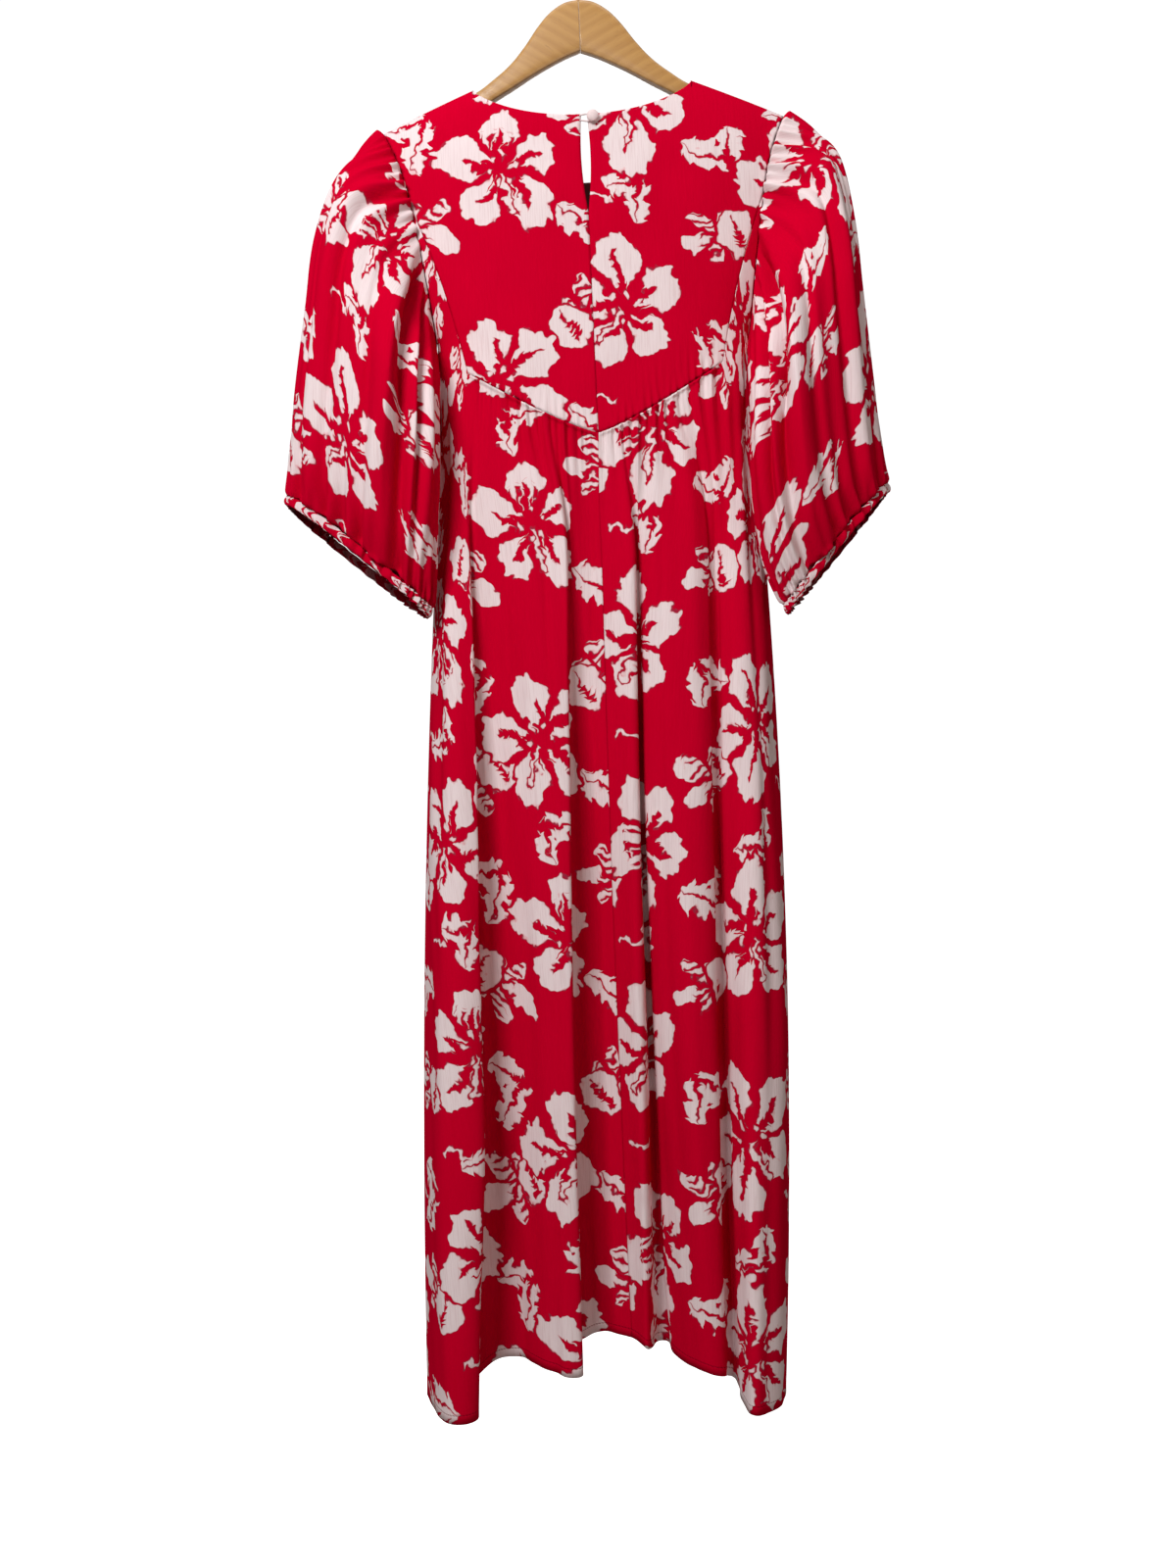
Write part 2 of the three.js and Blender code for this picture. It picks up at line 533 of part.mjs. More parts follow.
// Outward direction of the skirt at a place and a row. Seams share one direction on both sides.
function skirtNormal(place, row, face) {
  const fromSide = Math.min(place, LAST_LINE - place);
  const step = 0.05;
  const lastRow = SKIRT_ROW_DROPS.length + SKIRT_LOWER_ROWS - 1;
  const onArmhole = fromSide === 0 && row < SKIRT_ROW_DROPS.length - 1;
  if (row === 0 || onArmhole) {
    const [x, z] = unlean(skirtPoint(place, row, face));
    return yokeNormal(x, z, face);
  }
  const before = skirtPoint(Math.max(place - step, 0), row, face);
  const after = skirtPoint(Math.min(place + step, LAST_LINE), row, face);
  const above = skirtPoint(place, Math.max(row - 1, 0), face);
  const below = skirtPoint(place, Math.min(row + 1, lastRow), face);
  const normal = after.sub(before).cross(below.sub(above)).normalize().multiplyScalar(face);
  if (fromSide === 0) normal.set(place === 0 ? LEFT : RIGHT, 0, 0);
  if (place === CENTRE_LINE) normal.setX(0);
  return normal.normalize();
}

// The point of a curve at a share, on straight chords between the stops that its neighbour also uses.
function alongChords(curve, stops, share) {
  const sign = stops[1] > stops[0] ? 1 : -1;
  let k = 0;
  while (k < stops.length - 2 && sign * stops[k + 1] < sign * share) k++;
  return curve(stops[k]).lerp(curve(stops[k + 1]), (share - stops[k]) / (stops[k + 1] - stops[k]));
}

// The armhole's edge at an angle round the sleeve's first ring.
function armhole(angle, side) {
  const face = angle <= 180 ? BACK : FRONT;
  const turned = face === BACK ? angle : 360 - angle;
  if (turned < JOIN_ANGLE) {
    const edge = (share) => {
      const [x, z] = yokeOuterEdge(share);
      const apart = share === 0 ? (face * SEAM_GAP) / 2 : 0;
      const gap = SEAM_GAP * (1.3 + (0.7 * share) / JOIN_SHARE);
      return lean(side * (x + gap), yokeDepth(x, z, face) + apart, z);
    };
    return alongChords(edge, YOKE_DOWN_SHARES, (JOIN_SHARE * turned) / JOIN_ANGLE);
  }
  const edge = (at) => lowerArmhole(at, side, face);
  const share = 1 - (turned - JOIN_ANGLE) / (180 - JOIN_ANGLE);
  const at = alongChords(edge, ARMHOLE_SHARES, share);
  return at.add(new THREE.Vector3(side * SEAM_GAP, 0, 0));
}

// A point of the plain sleeve ring at a place counted in rows of its table.
function sleeveRing(angle, place, side) {
  const rings = SLEEVE_RINGS[side];
  const value = (column) => atRow(rings, place, column);
  const outer = new THREE.Vector3(value("outX"), value("outY"), value("outZ"));
  const inner = new THREE.Vector3(value("inX"), value("inY"), value("inZ"));
  const radians = THREE.MathUtils.degToRad(angle);
  const rounded = (v) => Math.sign(v) * Math.abs(v) ** (2 / RING_POWER);
  const at = outer.clone().add(inner).multiplyScalar(0.5);
  at.addScaledVector(outer.sub(inner), rounded(Math.cos(radians)) / 2);
  at.y -= rounded(Math.sin(radians)) * value("halfDepth");
  at.z += rounded(Math.sin(radians)) * CUFF_BACK_RISE * smooth(rings.length - 3, rings.length - 1, place);
  return at;
}

// Depth of the sleeve's folds at an angle and a place down the sleeve.
function sleeveFold(angle, place) {
  const down = place / (SLEEVE_RINGS[LEFT].length - 1);
  const total = SLEEVE_FOLDS.reduce((sum, row) => {
    const apart = (angle - row.angle) / row.reach;
    const upper = lerp(row.head, row.middle, down * 2);
    const lower = lerp(row.middle, row.cuff, down * 2 - 1);
    return sum + (down < 0.5 ? upper : lower) * Math.exp(-apart * apart);
  }, 0);
  return total * smooth(0, 1.2, place);
}

// Gathers of the sleeve's head and of its lower edge.
function sleeveGather(angle, place) {
  const last = SLEEVE_RINGS[LEFT].length - 1;
  const fromTop = angle > 180 ? 360 - angle : angle;
  const atHead = smooth(HEAD_GATHER_REACH, HEAD_GATHER_REACH - 12, fromTop);
  const headWave = HEAD_ANGLES.indexOf(fromTop) % 2 === 0 ? 1 : -1;
  const head = HEAD_GATHER_DEPTH * atHead * headWave * smooth(0, 0.4, place) * smooth(2, 0.6, place);
  const cuffWave = Math.cos(THREE.MathUtils.degToRad((angle * CUFF_GATHERS) / 2));
  return head + LOWER_GATHER_DEPTH * cuffWave * smooth(last - 1.2, last - 0.3, place) * smooth(last, last - 0.15, place);
}

// Rings of sleeve points. Gathered rings have a point on each crest and hollow.
function sleeveRows(side) {
  const last = SLEEVE_RINGS[side].length - 1;
  const roundHead = [...HEAD_ANGLES, ...HEAD_ANGLES.slice(1, -1).reverse().map((angle) => 360 - angle)];
  const evenly = (count) => Array.from({ length: count }, (_, k) => (k * 360) / count);
  const plan = [
    ...[0, 0.35, 0.8, 1.4].map((place) => ({ place, angles: roundHead })),
    ...[2.2, 3, 3.9, 4.8, 5.6].map((place) => ({ place, angles: evenly(30) })),
    ...[6.2, 6.75, last].map((place) => ({ place, angles: evenly(CUFF_GATHERS) })),
  ];
  return plan.map(({ place, angles }) =>
    angles.map((angle) => {
      const at = sleeveRing(angle, place, side);
      const join = armhole(angle, side).sub(sleeveRing(angle, 0, side));
      at.addScaledVector(join, Math.exp(-((place / ARMHOLE_FADE) ** 2) * 2));
      const gather = sleeveGather(angle, place) + sleeveFold(angle, place);
      return { at, u: angle, gather, plane: place === last ? ringAxis(side) : null };
    }),
  );
}

// Direction square to the sleeve's last ring, as it is seen from the back.
function ringAxis(side) {
  const ring = SLEEVE_RINGS[side][SLEEVE_RINGS[side].length - 1];
  const across = new THREE.Vector3(ring.outX - ring.inX, 0, ring.outZ - ring.inZ);
  const depth = new THREE.Vector3(0, -ring.halfDepth, CUFF_BACK_RISE);
  return across.cross(depth).multiplyScalar(side).normalize();
}

// Rings of the narrow elastic casing at the sleeve's end.
function cuffRows(side) {
  const last = SLEEVE_RINGS[side].length - 1;
  const plane = ringAxis(side);
  const direction = new THREE.Vector3(side * CUFF_LEAN, 0, -1).normalize();
  const steps = 2 * CUFF_GATHERS;
  return [SEAM_GAP, CUFF_WIDTH].map((drop) =>
    Array.from({ length: steps }, (_, k) => {
      const angle = (k * 360) / steps;
      const at = sleeveRing(angle, last, side).addScaledVector(direction, drop);
      const wave = k % 2 === 0 ? 1 : -1;
      return { at, u: angle, plane, gather: (CUFF_GATHER_DEPTH * wave) / 2 };
    }),
  );
}

// Triangles between two rows of different lengths, walked side by side in the order of u.
function zip(upper, lower, upperStart, lowerStart, closed) {
  const triangles = [];
  const upperCount = upper.length;
  const lowerCount = lower.length;
  const upperSteps = closed ? upperCount : upperCount - 1;
  const lowerSteps = closed ? lowerCount : lowerCount - 1;
  const uAt = (row, k) => (k < row.length ? row[k].u : row[k - row.length].u + 360);
  let i = 0;
  let j = 0;
  while (i < upperSteps || j < lowerSteps) {
    const a = upperStart + (i % upperCount);
    const b = lowerStart + (j % lowerCount);
    const nextUpper = i < upperSteps ? uAt(upper, i + 1) : Infinity;
    const nextLower = j < lowerSteps ? uAt(lower, j + 1) : Infinity;
    if (nextUpper <= nextLower) {
      triangles.push([a, b, upperStart + ((i + 1) % upperCount)]);
      i++;
    } else {
      triangles.push([a, b, lowerStart + ((j + 1) % lowerCount)]);
      j++;
    }
  }
  return triangles;
}

// The nearest point of a row to a value of u, on the straight steps between its points.
function onRow(row, u, closed) {
  const count = row.length;
  let k = 0;
  while (k < count - 1 && row[k + 1].u <= u) k++;
  const next = k + 1 < count ? row[k + 1] : closed ? { at: row[0].at, u: row[0].u + 360 } : row[k];
  const span = next.u - row[k].u || 1;
  return row[k].at.clone().lerp(next.at, clamp((u - row[k].u) / span, 0, 1));
}

// Outward direction of each point of a sheet, from its neighbours along and across the rows.
function outwards(rows, closed, outside) {
  return rows.map((row, r) =>
    row.map((point, k) => {
      if (point.normal) return point.normal;
      const count = row.length;
      const before = row[closed ? (k + count - 1) % count : Math.max(k - 1, 0)].at;
      const after = row[closed ? (k + 1) % count : Math.min(k + 1, count - 1)].at;
      const above = r > 0 ? onRow(rows[r - 1], point.u, closed) : point.at;
      const below = r < rows.length - 1 ? onRow(rows[r + 1], point.u, closed) : point.at;
      const along = after.clone().sub(before);
      const normal = along.cross(below.clone().sub(above)).normalize();
      normal.multiplyScalar(outside);
      if (point.plane) normal.addScaledVector(point.plane, -normal.dot(point.plane)).normalize();
      return normal;
    }),
  );
}

// A closed wall of cloth: its outer face runs through the rows, moved out by their gathers.
function clothWall(rows, { closed = false, outside = 1 } = {}) {
  const normals = outwards(rows, closed, outside);
  const outer = rows.map((row, r) =>
    row.map((point, k) => point.at.clone().addScaledVector(normals[r][k], point.gather ?? 0)),
  );
  const inner = outer.map((row, r) =>
    row.map((at, k) => at.clone().addScaledVector(normals[r][k], -WALL)),
  );
  const positions = [...outer.flat(), ...inner.flat()].flatMap((p) => [p.x, p.y, p.z]);
  const starts = [];
  let total = 0;
  for (const row of rows) {
    starts.push(total);
    total += row.length;
  }
  const triangles = [];
  for (let r = 0; r < rows.length - 1; r++)
    for (const [a, b, c] of zip(rows[r], rows[r + 1], starts[r], starts[r + 1], closed))
      triangles.push([a, b, c], [total + a, total + c, total + b]);
  const rim = (a, b) => triangles.push([a, b, total + b], [a, total + b, total + a]);
  const bottomRow = rows.length - 1;
  const topCount = rows[0].length;
  const bottomCount = rows[bottomRow].length;
  for (let k = 0; k < (closed ? topCount : topCount - 1); k++)
    rim(starts[0] + k, starts[0] + ((k + 1) % topCount));
  for (let k = 0; k < (closed ? bottomCount : bottomCount - 1); k++)
    rim(starts[bottomRow] + ((k + 1) % bottomCount), starts[bottomRow] + k);
  if (!closed)
    for (let r = 0; r < rows.length - 1; r++) {
      rim(starts[r + 1], starts[r]);
      rim(starts[r] + rows[r].length - 1, starts[r + 1] + rows[r + 1].length - 1);
    }
  return facingOut(positions, triangles);
}

// A geometry from points and triangles, turned so that it encloses a positive volume.
function facingOut(positions, triangles) {
  const point = (k) => new THREE.Vector3().fromArray(positions, 3 * k);
  const volume = triangles.reduce((sum, [a, b, c]) => sum + point(a).dot(point(b).cross(point(c))), 0);
  const index = triangles.flatMap(([a, b, c]) => (volume > 0 ? [a, b, c] : [a, c, b]));
  const geometry = new THREE.BufferGeometry();
  geometry.setAttribute("position", new THREE.Float32BufferAttribute(positions, 3));
  geometry.setIndex(index);
  geometry.computeVertexNormals();
  return geometry;
}

function yokeGeometry(sides, face) {
  return clothWall(yokeRows(sides, face));
}

function skirtGeometry(from, to, face) {
  const rows = skirtRows(from, to, face);
  for (const row of rows) {
    const [first, last] = [row[0], row[row.length - 1]];
    if (from === CENTRE_LINE) first.at.x += SEAM_GAP / 2;
    if (to === CENTRE_LINE) last.at.x -= SEAM_GAP / 2;
    if (from === 0) first.at.y += (face * SEAM_GAP) / 2;
    if (to === LAST_LINE) last.at.y += (face * SEAM_GAP) / 2;
  }
  return clothWall(rows);
}

// One arm of the hanger: rounded sections along its length, swept towards the garment's front.
function woodArm(side) {
  const corner = WOOD_ROUNDING;
  const half = WOOD_THICKNESS / 2;
  const positions = [];
  WOOD_PROFILE.forEach((row, r) => {
    const x = Math.max(row.x, SEAM_GAP / 2);
    const sweep = ARM_SWEEP * (row.x / ARM_REACH) ** 2;
    const section = [
      [half - corner, -row.top],
      [half, -row.top - corner],
      [half, -row.bottom + corner],
      [half - corner, -row.bottom],
      [corner - half, -row.bottom],
      [-half, -row.bottom + corner],
      [-half, -row.top - corner],
      [corner - half, -row.top],
    ];
    for (const [y, z] of section) positions.push(...lean(side * x, sweep + y, z).toArray());
  });
  const points = 8;
  const last = (WOOD_PROFILE.length - 1) * points;
  const triangles = [];
  for (let start = 0; start < last; start += points)
    for (let k = 0; k < points; k++) {
      const next = (k + 1) % points;
      triangles.push([start + k, start + next, start + points + next]);
      triangles.push([start + k, start + points + next, start + points + k]);
    }
  for (let k = 1; k < points - 1; k++) {
    triangles.push([0, k + 1, k]);
    triangles.push([last, last + k, last + k + 1]);
  }
  return facingOut(positions, triangles);
}

// A round wire along a curve.
function wire(points, diameter, sides, steps) {
  const section = new THREE.Shape();
  section.absarc(0, 0, diameter / 2, 0, 2 * Math.PI, false);
  return new THREE.ExtrudeGeometry(section, {
    curveSegments: sides,
    steps,
    extrudePath: new THREE.CatmullRomCurve3(points, false, "centripetal"),
  });
}

function hookGeometry() {
  const radius = HOOK.innerRadius + HOOK.wire / 2;
  const points = [];
  const arcSteps = 12;
  for (let k = 0; k <= arcSteps; k++) {
    const angle = THREE.MathUtils.degToRad(lerp(HOOK.tipAngle, HOOK.turnAngle, k / arcSteps));
    points.push(
      new THREE.Vector3(radius * Math.cos(angle), 0, -HOOK.innerRadius + radius * Math.sin(angle)),
    );
  }
  const shankTop = WOOD_TOP_Z + SHANK.height;
  points.push(new THREE.Vector3(SHANK.topX, 0, shankTop + SHANK.bend));
  points.push(new THREE.Vector3(SHANK.lowX, 0, shankTop - SHANK.bend));
  points.push(new THREE.Vector3(0, 0, WOOD_TOP_Z + SEAM_GAP));
  return wire(points, HOOK.wire, HOOK.sides, HOOK.steps);
}

// The covered button: a dome on a short stem, turned about an axis that points out of the back.
function buttonGeometry() {
  const { radius, stem, stemRadius } = BUTTON;
  const domeStart = stem + BUTTON.rim;
  const outline = [new THREE.Vector2(0, 0), new THREE.Vector2(stemRadius, 0)];
  outline.push(new THREE.Vector2(stemRadius, stem), new THREE.Vector2(radius * 0.86, stem));
  outline.push(new THREE.Vector2(radius, domeStart));
  const domeSteps = 6;
  for (let k = 1; k <= domeSteps; k++) {
    const angle = (Math.PI / 2) * (k / domeSteps);
    const up = domeStart + (BUTTON.height - domeStart) * Math.sin(angle);
    outline.push(new THREE.Vector2(radius * Math.cos(angle), up));
  }
  outline[outline.length - 1].x = 0;
  return new THREE.LatheGeometry(outline, BUTTON.sides);
}

// The loop: a thin cord from the left half's corner round the button's stem and back.
function loopGeometry() {
  const path = LOOP_PATH.map(({ x, z }) => {
    const depth = yokeDepth(Math.abs(x), BUTTON.z + z, BACK);
    return lean(x, depth - LOOP.wire / 2 - SEAM_GAP, BUTTON.z + z);
  });
  return wire(path, LOOP.wire, LOOP.sides, LOOP.steps);
}

const PRINT = new THREE.MeshStandardMaterial({ color: 0xb8001f, roughness: 0.62, metalness: 0 });
const PALE_CLOTH = new THREE.MeshStandardMaterial({ color: 0xe6d8d4, roughness: 0.7, metalness: 0 });
const WOOD = new THREE.MeshStandardMaterial({ color: 0xbe9048, roughness: 0.5, metalness: 0 });
const STEEL = new THREE.MeshStandardMaterial({ color: 0xb8babd, roughness: 0.28, metalness: 1 });

const garment = new THREE.Group();

function add(name, geometry, material) {
  const mesh = new THREE.Mesh(geometry, material);
  mesh.name = name;
  garment.add(mesh);
  return mesh;
}

add("back_yoke_left", yokeGeometry([LEFT], BACK), PRINT);
add("back_yoke_right", yokeGeometry([RIGHT], BACK), PRINT);
add("front_yoke", yokeGeometry([LEFT, RIGHT], FRONT), PRINT);
add("back_skirt_left", skirtGeometry(0, CENTRE_LINE, BACK), PRINT);
add("back_skirt_right", skirtGeometry(CENTRE_LINE, LAST_LINE, BACK), PRINT);
add("front_skirt", skirtGeometry(0, LAST_LINE, FRONT), PRINT);
for (const [side, word] of [
  [LEFT, "left"],
  [RIGHT, "right"],
]) {
  add("sleeve_" + word, clothWall(sleeveRows(side), { closed: true, outside: side }), PRINT);
  add("cuff_" + word, clothWall(cuffRows(side), { closed: true, outside: side }), PRINT);
  add("hanger_arm_" + word, woodArm(side), WOOD);
}
add("hook", hookGeometry(), STEEL);
add("button_loop", loopGeometry(), PALE_CLOTH);

const button = add("button", buttonGeometry(), PALE_CLOTH);
const buttonSeat = yokeDepth(BUTTON.x, BUTTON.z, BACK);
button.position.copy(lean(BUTTON.x, buttonSeat - SEAM_GAP - 0.3, BUTTON.z));
button.rotation.x = Math.PI;

export default garment;
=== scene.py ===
"""Looks of a loose, back-buttoned printed dress on a wooden hanger.

Lengths are worked out in millimetres, in the part's own frame, and become metres when a mesh is made.
The garment's back faces -Y and the origin is the point inside the hook that rests on a rail.
"""

import logging
import math
from dataclasses import dataclass, field
from enum import Enum
from typing import NamedTuple, Sequence, Union

import bpy
import numpy as np
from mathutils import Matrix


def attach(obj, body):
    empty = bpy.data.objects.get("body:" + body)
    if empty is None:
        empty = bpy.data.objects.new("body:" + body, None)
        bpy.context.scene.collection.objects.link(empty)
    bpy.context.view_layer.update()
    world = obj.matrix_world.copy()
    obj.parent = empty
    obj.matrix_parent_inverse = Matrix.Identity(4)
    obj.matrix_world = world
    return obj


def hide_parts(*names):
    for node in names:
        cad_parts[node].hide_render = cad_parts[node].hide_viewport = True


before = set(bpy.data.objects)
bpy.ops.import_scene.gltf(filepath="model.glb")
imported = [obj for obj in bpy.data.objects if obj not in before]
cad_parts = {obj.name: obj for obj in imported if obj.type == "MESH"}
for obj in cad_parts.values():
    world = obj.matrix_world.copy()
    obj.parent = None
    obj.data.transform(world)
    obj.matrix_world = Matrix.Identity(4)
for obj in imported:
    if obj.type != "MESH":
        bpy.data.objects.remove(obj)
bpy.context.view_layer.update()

Array = np.ndarray
log = logging.getLogger("dress")

# A millimetre in metres, a full turn in radians, and the part's one body.
MILLIMETRE = 0.001
TURN = 2.0 * math.pi
ROOT = "root"
# The hanger leans by this angle, and its peak stands at this height.
LEAN = math.radians(2.6)
WOOD_TOP_Z = -62.0
# Gaps between pieces that lie together, and between edges that are sewn.
SEAM_GAP = 0.3
SEWN_GAP = 0.05
# Depth of the side seams, and how far the hanger's arms sweep to the front at their reach.
SIDE_SEAM_Y = 2.0
ARM_SWEEP = 14.0
ARM_REACH = 190.0
# Cloth millimetres in a unit of the map "Cloth".
MAP_UNIT = 100.0
# More than any distance in the print, so that a draw past its threshold hides a motif.
SWITCH = 400.0


class Face(Enum):
    """The garment's back or front, as the sign of its Y direction."""

    BACK = -1
    FRONT = 1


class Side(Enum):
    """Left or right as the garment's back is seen, as the sign of X."""

    LEFT = -1
    RIGHT = 1

    @property
    def word(self) -> str:
        """The side's name as node names use it."""
        return self.name.lower()


class Edge(Enum):
    """One of the four edges of a grid of cloth points."""

    TOP = "top"
    BOTTOM = "bottom"
    START = "start"
    END = "end"


def lerp(start: Array, end: Array, share: Array) -> Array:
    """Straight mix of two values: start at share 0 and end at share 1."""
    return start + (end - start) * share


def smooth(low: float, high: float, at: Array) -> Array:
    """Soft step: 0 at low and 1 at high, by t * t * (3 - 2 t). The limits may stand in either order."""
    share = np.clip((at - low) / (high - low), 0.0, 1.0)
    return share * share * (3.0 - 2.0 * share)


def bell(at: Array) -> Array:
    """Bell curve exp(-at squared)."""
    return np.exp(-at * at)


def turned(x: Array, y: Array, z: Array) -> Array:
    """A direction of the leaning frame as a direction of the part's frame."""
    cos, sin = math.cos(LEAN), math.sin(LEAN)
    return np.stack(np.broadcast_arrays(x * cos - z * sin, y, x * sin + z * cos), -1)


def lean(x: Array, y: Array, z: Array) -> Array:
    """A point of the leaning frame as a point of the part's frame: turned, then lowered to the wood's top."""
    return turned(x, y, z) + np.array([0.0, 0.0, WOOD_TOP_Z])


def unlean(points: Array) -> tuple[Array, Array]:
    """The leaning frame's x and z of points of the part's frame.

    Args:
        points: points of the part's frame.

    Returns:
        Their x and z in the leaning frame.
    """
    cos, sin = math.cos(LEAN), math.sin(LEAN)
    below = points[..., 2] - WOOD_TOP_Z
    return points[..., 0] * cos + below * sin, below * cos - points[..., 0] * sin


def through_four(before: Array, start: Array, end: Array, after: Array, share: Array) -> Array:
    """Cubic through four neighbouring values, between the middle two.

    The slope at each of the middle two is half the difference of its neighbours.

    Args:
        before, start, end, after: four values in a row.
        share: how far from start to end, 0 to 1.

    Returns:
        The curve's value.
    """
    s2 = share * share
    s3 = s2 * share
    rising = (end - before) / 2.0 * (s3 - 2.0 * s2 + share)
    leaving = (after - start) / 2.0 * (s3 - s2)
    return start * (2.0 * s3 - 3.0 * s2 + 1.0) + rising + end * (3.0 * s2 - 2.0 * s3) + leaving


def along_table(column: Array, place: Array) -> Array:
    """The value of a table's column at a place counted in rows, on a smooth curve.

    Args:
        column: one value a row, or one row of values a row.
        place: places, 0 at the first row.

    Returns:
        Values with the shape of place, and the column's own last axis if it has one.
    """
    last = len(column) - 1
    row = np.clip(np.floor(place).astype(int), 0, last - 1)
    share = place - row
    if column.ndim > 1:
        share = share[..., None]
    found = [column[np.clip(row + step, 0, last)] for step in (-1, 0, 1, 2)]
    return through_four(*found, share)


class Ripple:
    """Slow, uneven waves: a sum of cosines whose lengths, directions and starts are drawn from a seed."""

    def __init__(self, seed: int, long_u: float, long_v: float, count: int = 7) -> None:
        """Draws the waves.

        Args:
            seed: seed of the random numbers.
            long_u: usual wavelength along u.
            long_v: usual wavelength along v.
            count: how many cosines are added.
        """
        drawn = np.random.default_rng(seed)
        self.rate_u = TURN / long_u * drawn.uniform(0.55, 1.5, count) * drawn.choice([-1, 1], count)
        self.rate_v = TURN / long_v * drawn.uniform(0.4, 1.6, count)
        self.start = drawn.uniform(0.0, TURN, count)

    def __call__(self, u: Array, v: Array) -> Array:
        """Value at u and v, mostly between -1 and 1."""
        waves = np.cos(u[..., None] * self.rate_u + v[..., None] * self.rate_v + self.start)
        return waves.sum(-1) / math.sqrt(2.0 * len(self.start))


def grid_normals(points: Array, hint: Array) -> tuple[Array, bool]:
    """Unit normals of a grid of points: the cross product of its steps down and along.

    Args:
        points: grid of points, rows by columns by 3.
        hint: a direction, or one a point, that the outside mostly faces.

    Returns:
        The normals, and whether the grid's own order had to be turned round to face outside.
    """
    down = np.gradient(points, axis=0)
    along = np.gradient(points, axis=1)
    normals = np.cross(down, along)
    normals /= np.maximum(np.linalg.norm(normals, axis=-1, keepdims=True), 1e-9)
    flipped = float((normals * hint).sum(-1).mean()) < 0.0
    return (-normals if flipped else normals), flipped


def run_lengths(points: Array, axis: int) -> Array:
    """Length walked over a grid of points.

    Args:
        points: grid of points.
        axis: 0 to walk down from the first row, 1 to walk along from the first column.

    Returns:
        The length at each point.
    """
    steps = np.linalg.norm(np.diff(points, axis=axis), axis=-1)
    walked = np.cumsum(steps, axis=axis)
    start = np.zeros_like(np.take(walked, [0], axis=axis))
    return np.concatenate([start, walked], axis=axis)


def edge_distances(points: Array) -> dict[Edge, Array]:
    """Distance of each point from each of the grid's four edges, walked along the grid.

    Args:
        points: grid of points.

    Returns:
        The distances from each edge.
    """
    down, along = run_lengths(points, 0), run_lengths(points, 1)
    return {
        Edge.TOP: down,
        Edge.BOTTOM: down[-1:] - down,
        Edge.START: along,
        Edge.END: along[:, -1:] - along,
    }


@dataclass
class Cloth:
    """A sheet of cloth as a grid of points on its outer face, with its flat coordinates.

    Fields:
        points: rows by columns by 3.
        hint: direction or directions that its outside faces.
        flat: rows by columns by 2, the place of each point on the cloth before sewing.
        seams: edges that are sewn, where the cloth dips.
        hems: edges that are turned up and stitched.
    """

    points: Array
    hint: Array
    flat: Array
    seams: Sequence[Edge] = ()
    hems: Sequence[Edge] = ()
    seam_dip: float = 0.3
    seam_reach: float = 1.6
    far: float = 60.0

    def distance(self, edges: Sequence[Edge]) -> Array:
        """Distance from the nearest of some edges, and far from all where there are none.

        Args:
            edges: the edges that count.

        Returns:
            The distance of each point.
        """
        found = edge_distances(self.points)
        least = np.full(self.points.shape[:2], self.far)
        for edge in edges:
            least = np.minimum(least, found[edge])
        return least

    def area(self) -> float:
        """Area of the cloth in square metres: half the crossed diagonals of each cell.

        Returns:
            The area.
        """
        grid = self.points * MILLIMETRE
        one, other = grid[1:, 1:] - grid[:-1, :-1], grid[1:, :-1] - grid[:-1, 1:]
        return float(np.linalg.norm(np.cross(one, other), axis=-1).sum() / 2.0)

    def flat_size(self) -> tuple[float, float]:
        """Width and length of the rectangle that its flat coordinates fill, in metres."""
        width, length = np.ptp(self.flat.reshape(-1, 2), axis=0) * MILLIMETRE
        return float(width), float(length)

    def dipped(self) -> Array:
        """The points, moved in beside seams by dip * exp(-(distance / reach) squared).

        Returns:
            The moved points.
        """
        normals, _ = grid_normals(self.points, self.hint)
        dip = self.seam_dip * bell(self.distance(self.seams) / self.seam_reach)
        return self.points - normals * dip[..., None]

    def make(self, name: str) -> bpy.types.Object:
        """Builds the mesh, with the map "Cloth" and the attributes "seam" and "hem".

        Args:
            name: the piece's name.

        Returns:
            The new object, at the origin.
        """
        points = self.dipped()
        _, flipped = grid_normals(points, self.hint)
        rows, columns = points.shape[:2]
        corner = np.arange(rows * columns).reshape(rows, columns)
        around = [corner[:-1, :-1], corner[1:, :-1], corner[1:, 1:], corner[:-1, 1:]]
        quads = np.stack(around, -1).reshape(-1, 4)
        if flipped:
            quads = quads[:, ::-1]
        made = new_mesh(name, points.reshape(-1, 3), quads.tolist())
        mesh = made.data
        loops = quads.ravel()
        layer = mesh.uv_layers.new(name="Cloth")
        places = self.flat.reshape(-1, 2)[loops] / MAP_UNIT
        layer.data.foreach_set("uv", places.astype(np.float32).ravel())
        for label, edges in (("seam", self.seams), ("hem", self.hems)):
            attribute = mesh.attributes.new(label, "FLOAT", "POINT")
            attribute.data.foreach_set("value", self.distance(edges).astype(np.float32).ravel())
        return made


def new_mesh(name: str, points: Array, faces: Sequence[Sequence[int]]) -> bpy.types.Object:
    """A smooth-shaded mesh object from points in millimetres.

    Args:
        name: the object's name.
        points: count by 3.
        faces: corner numbers, one row a face.

    Returns:
        The object, linked to the scene, with its place in its mesh.
    """
    mesh = bpy.data.meshes.new(name)
    mesh.from_pydata((points * MILLIMETRE).tolist(), [], faces)
    mesh.polygons.foreach_set("use_smooth", np.ones(len(faces), bool))
    mesh.update()
    made = bpy.data.objects.new(name, mesh)
    bpy.context.scene.collection.objects.link(made)
    return made


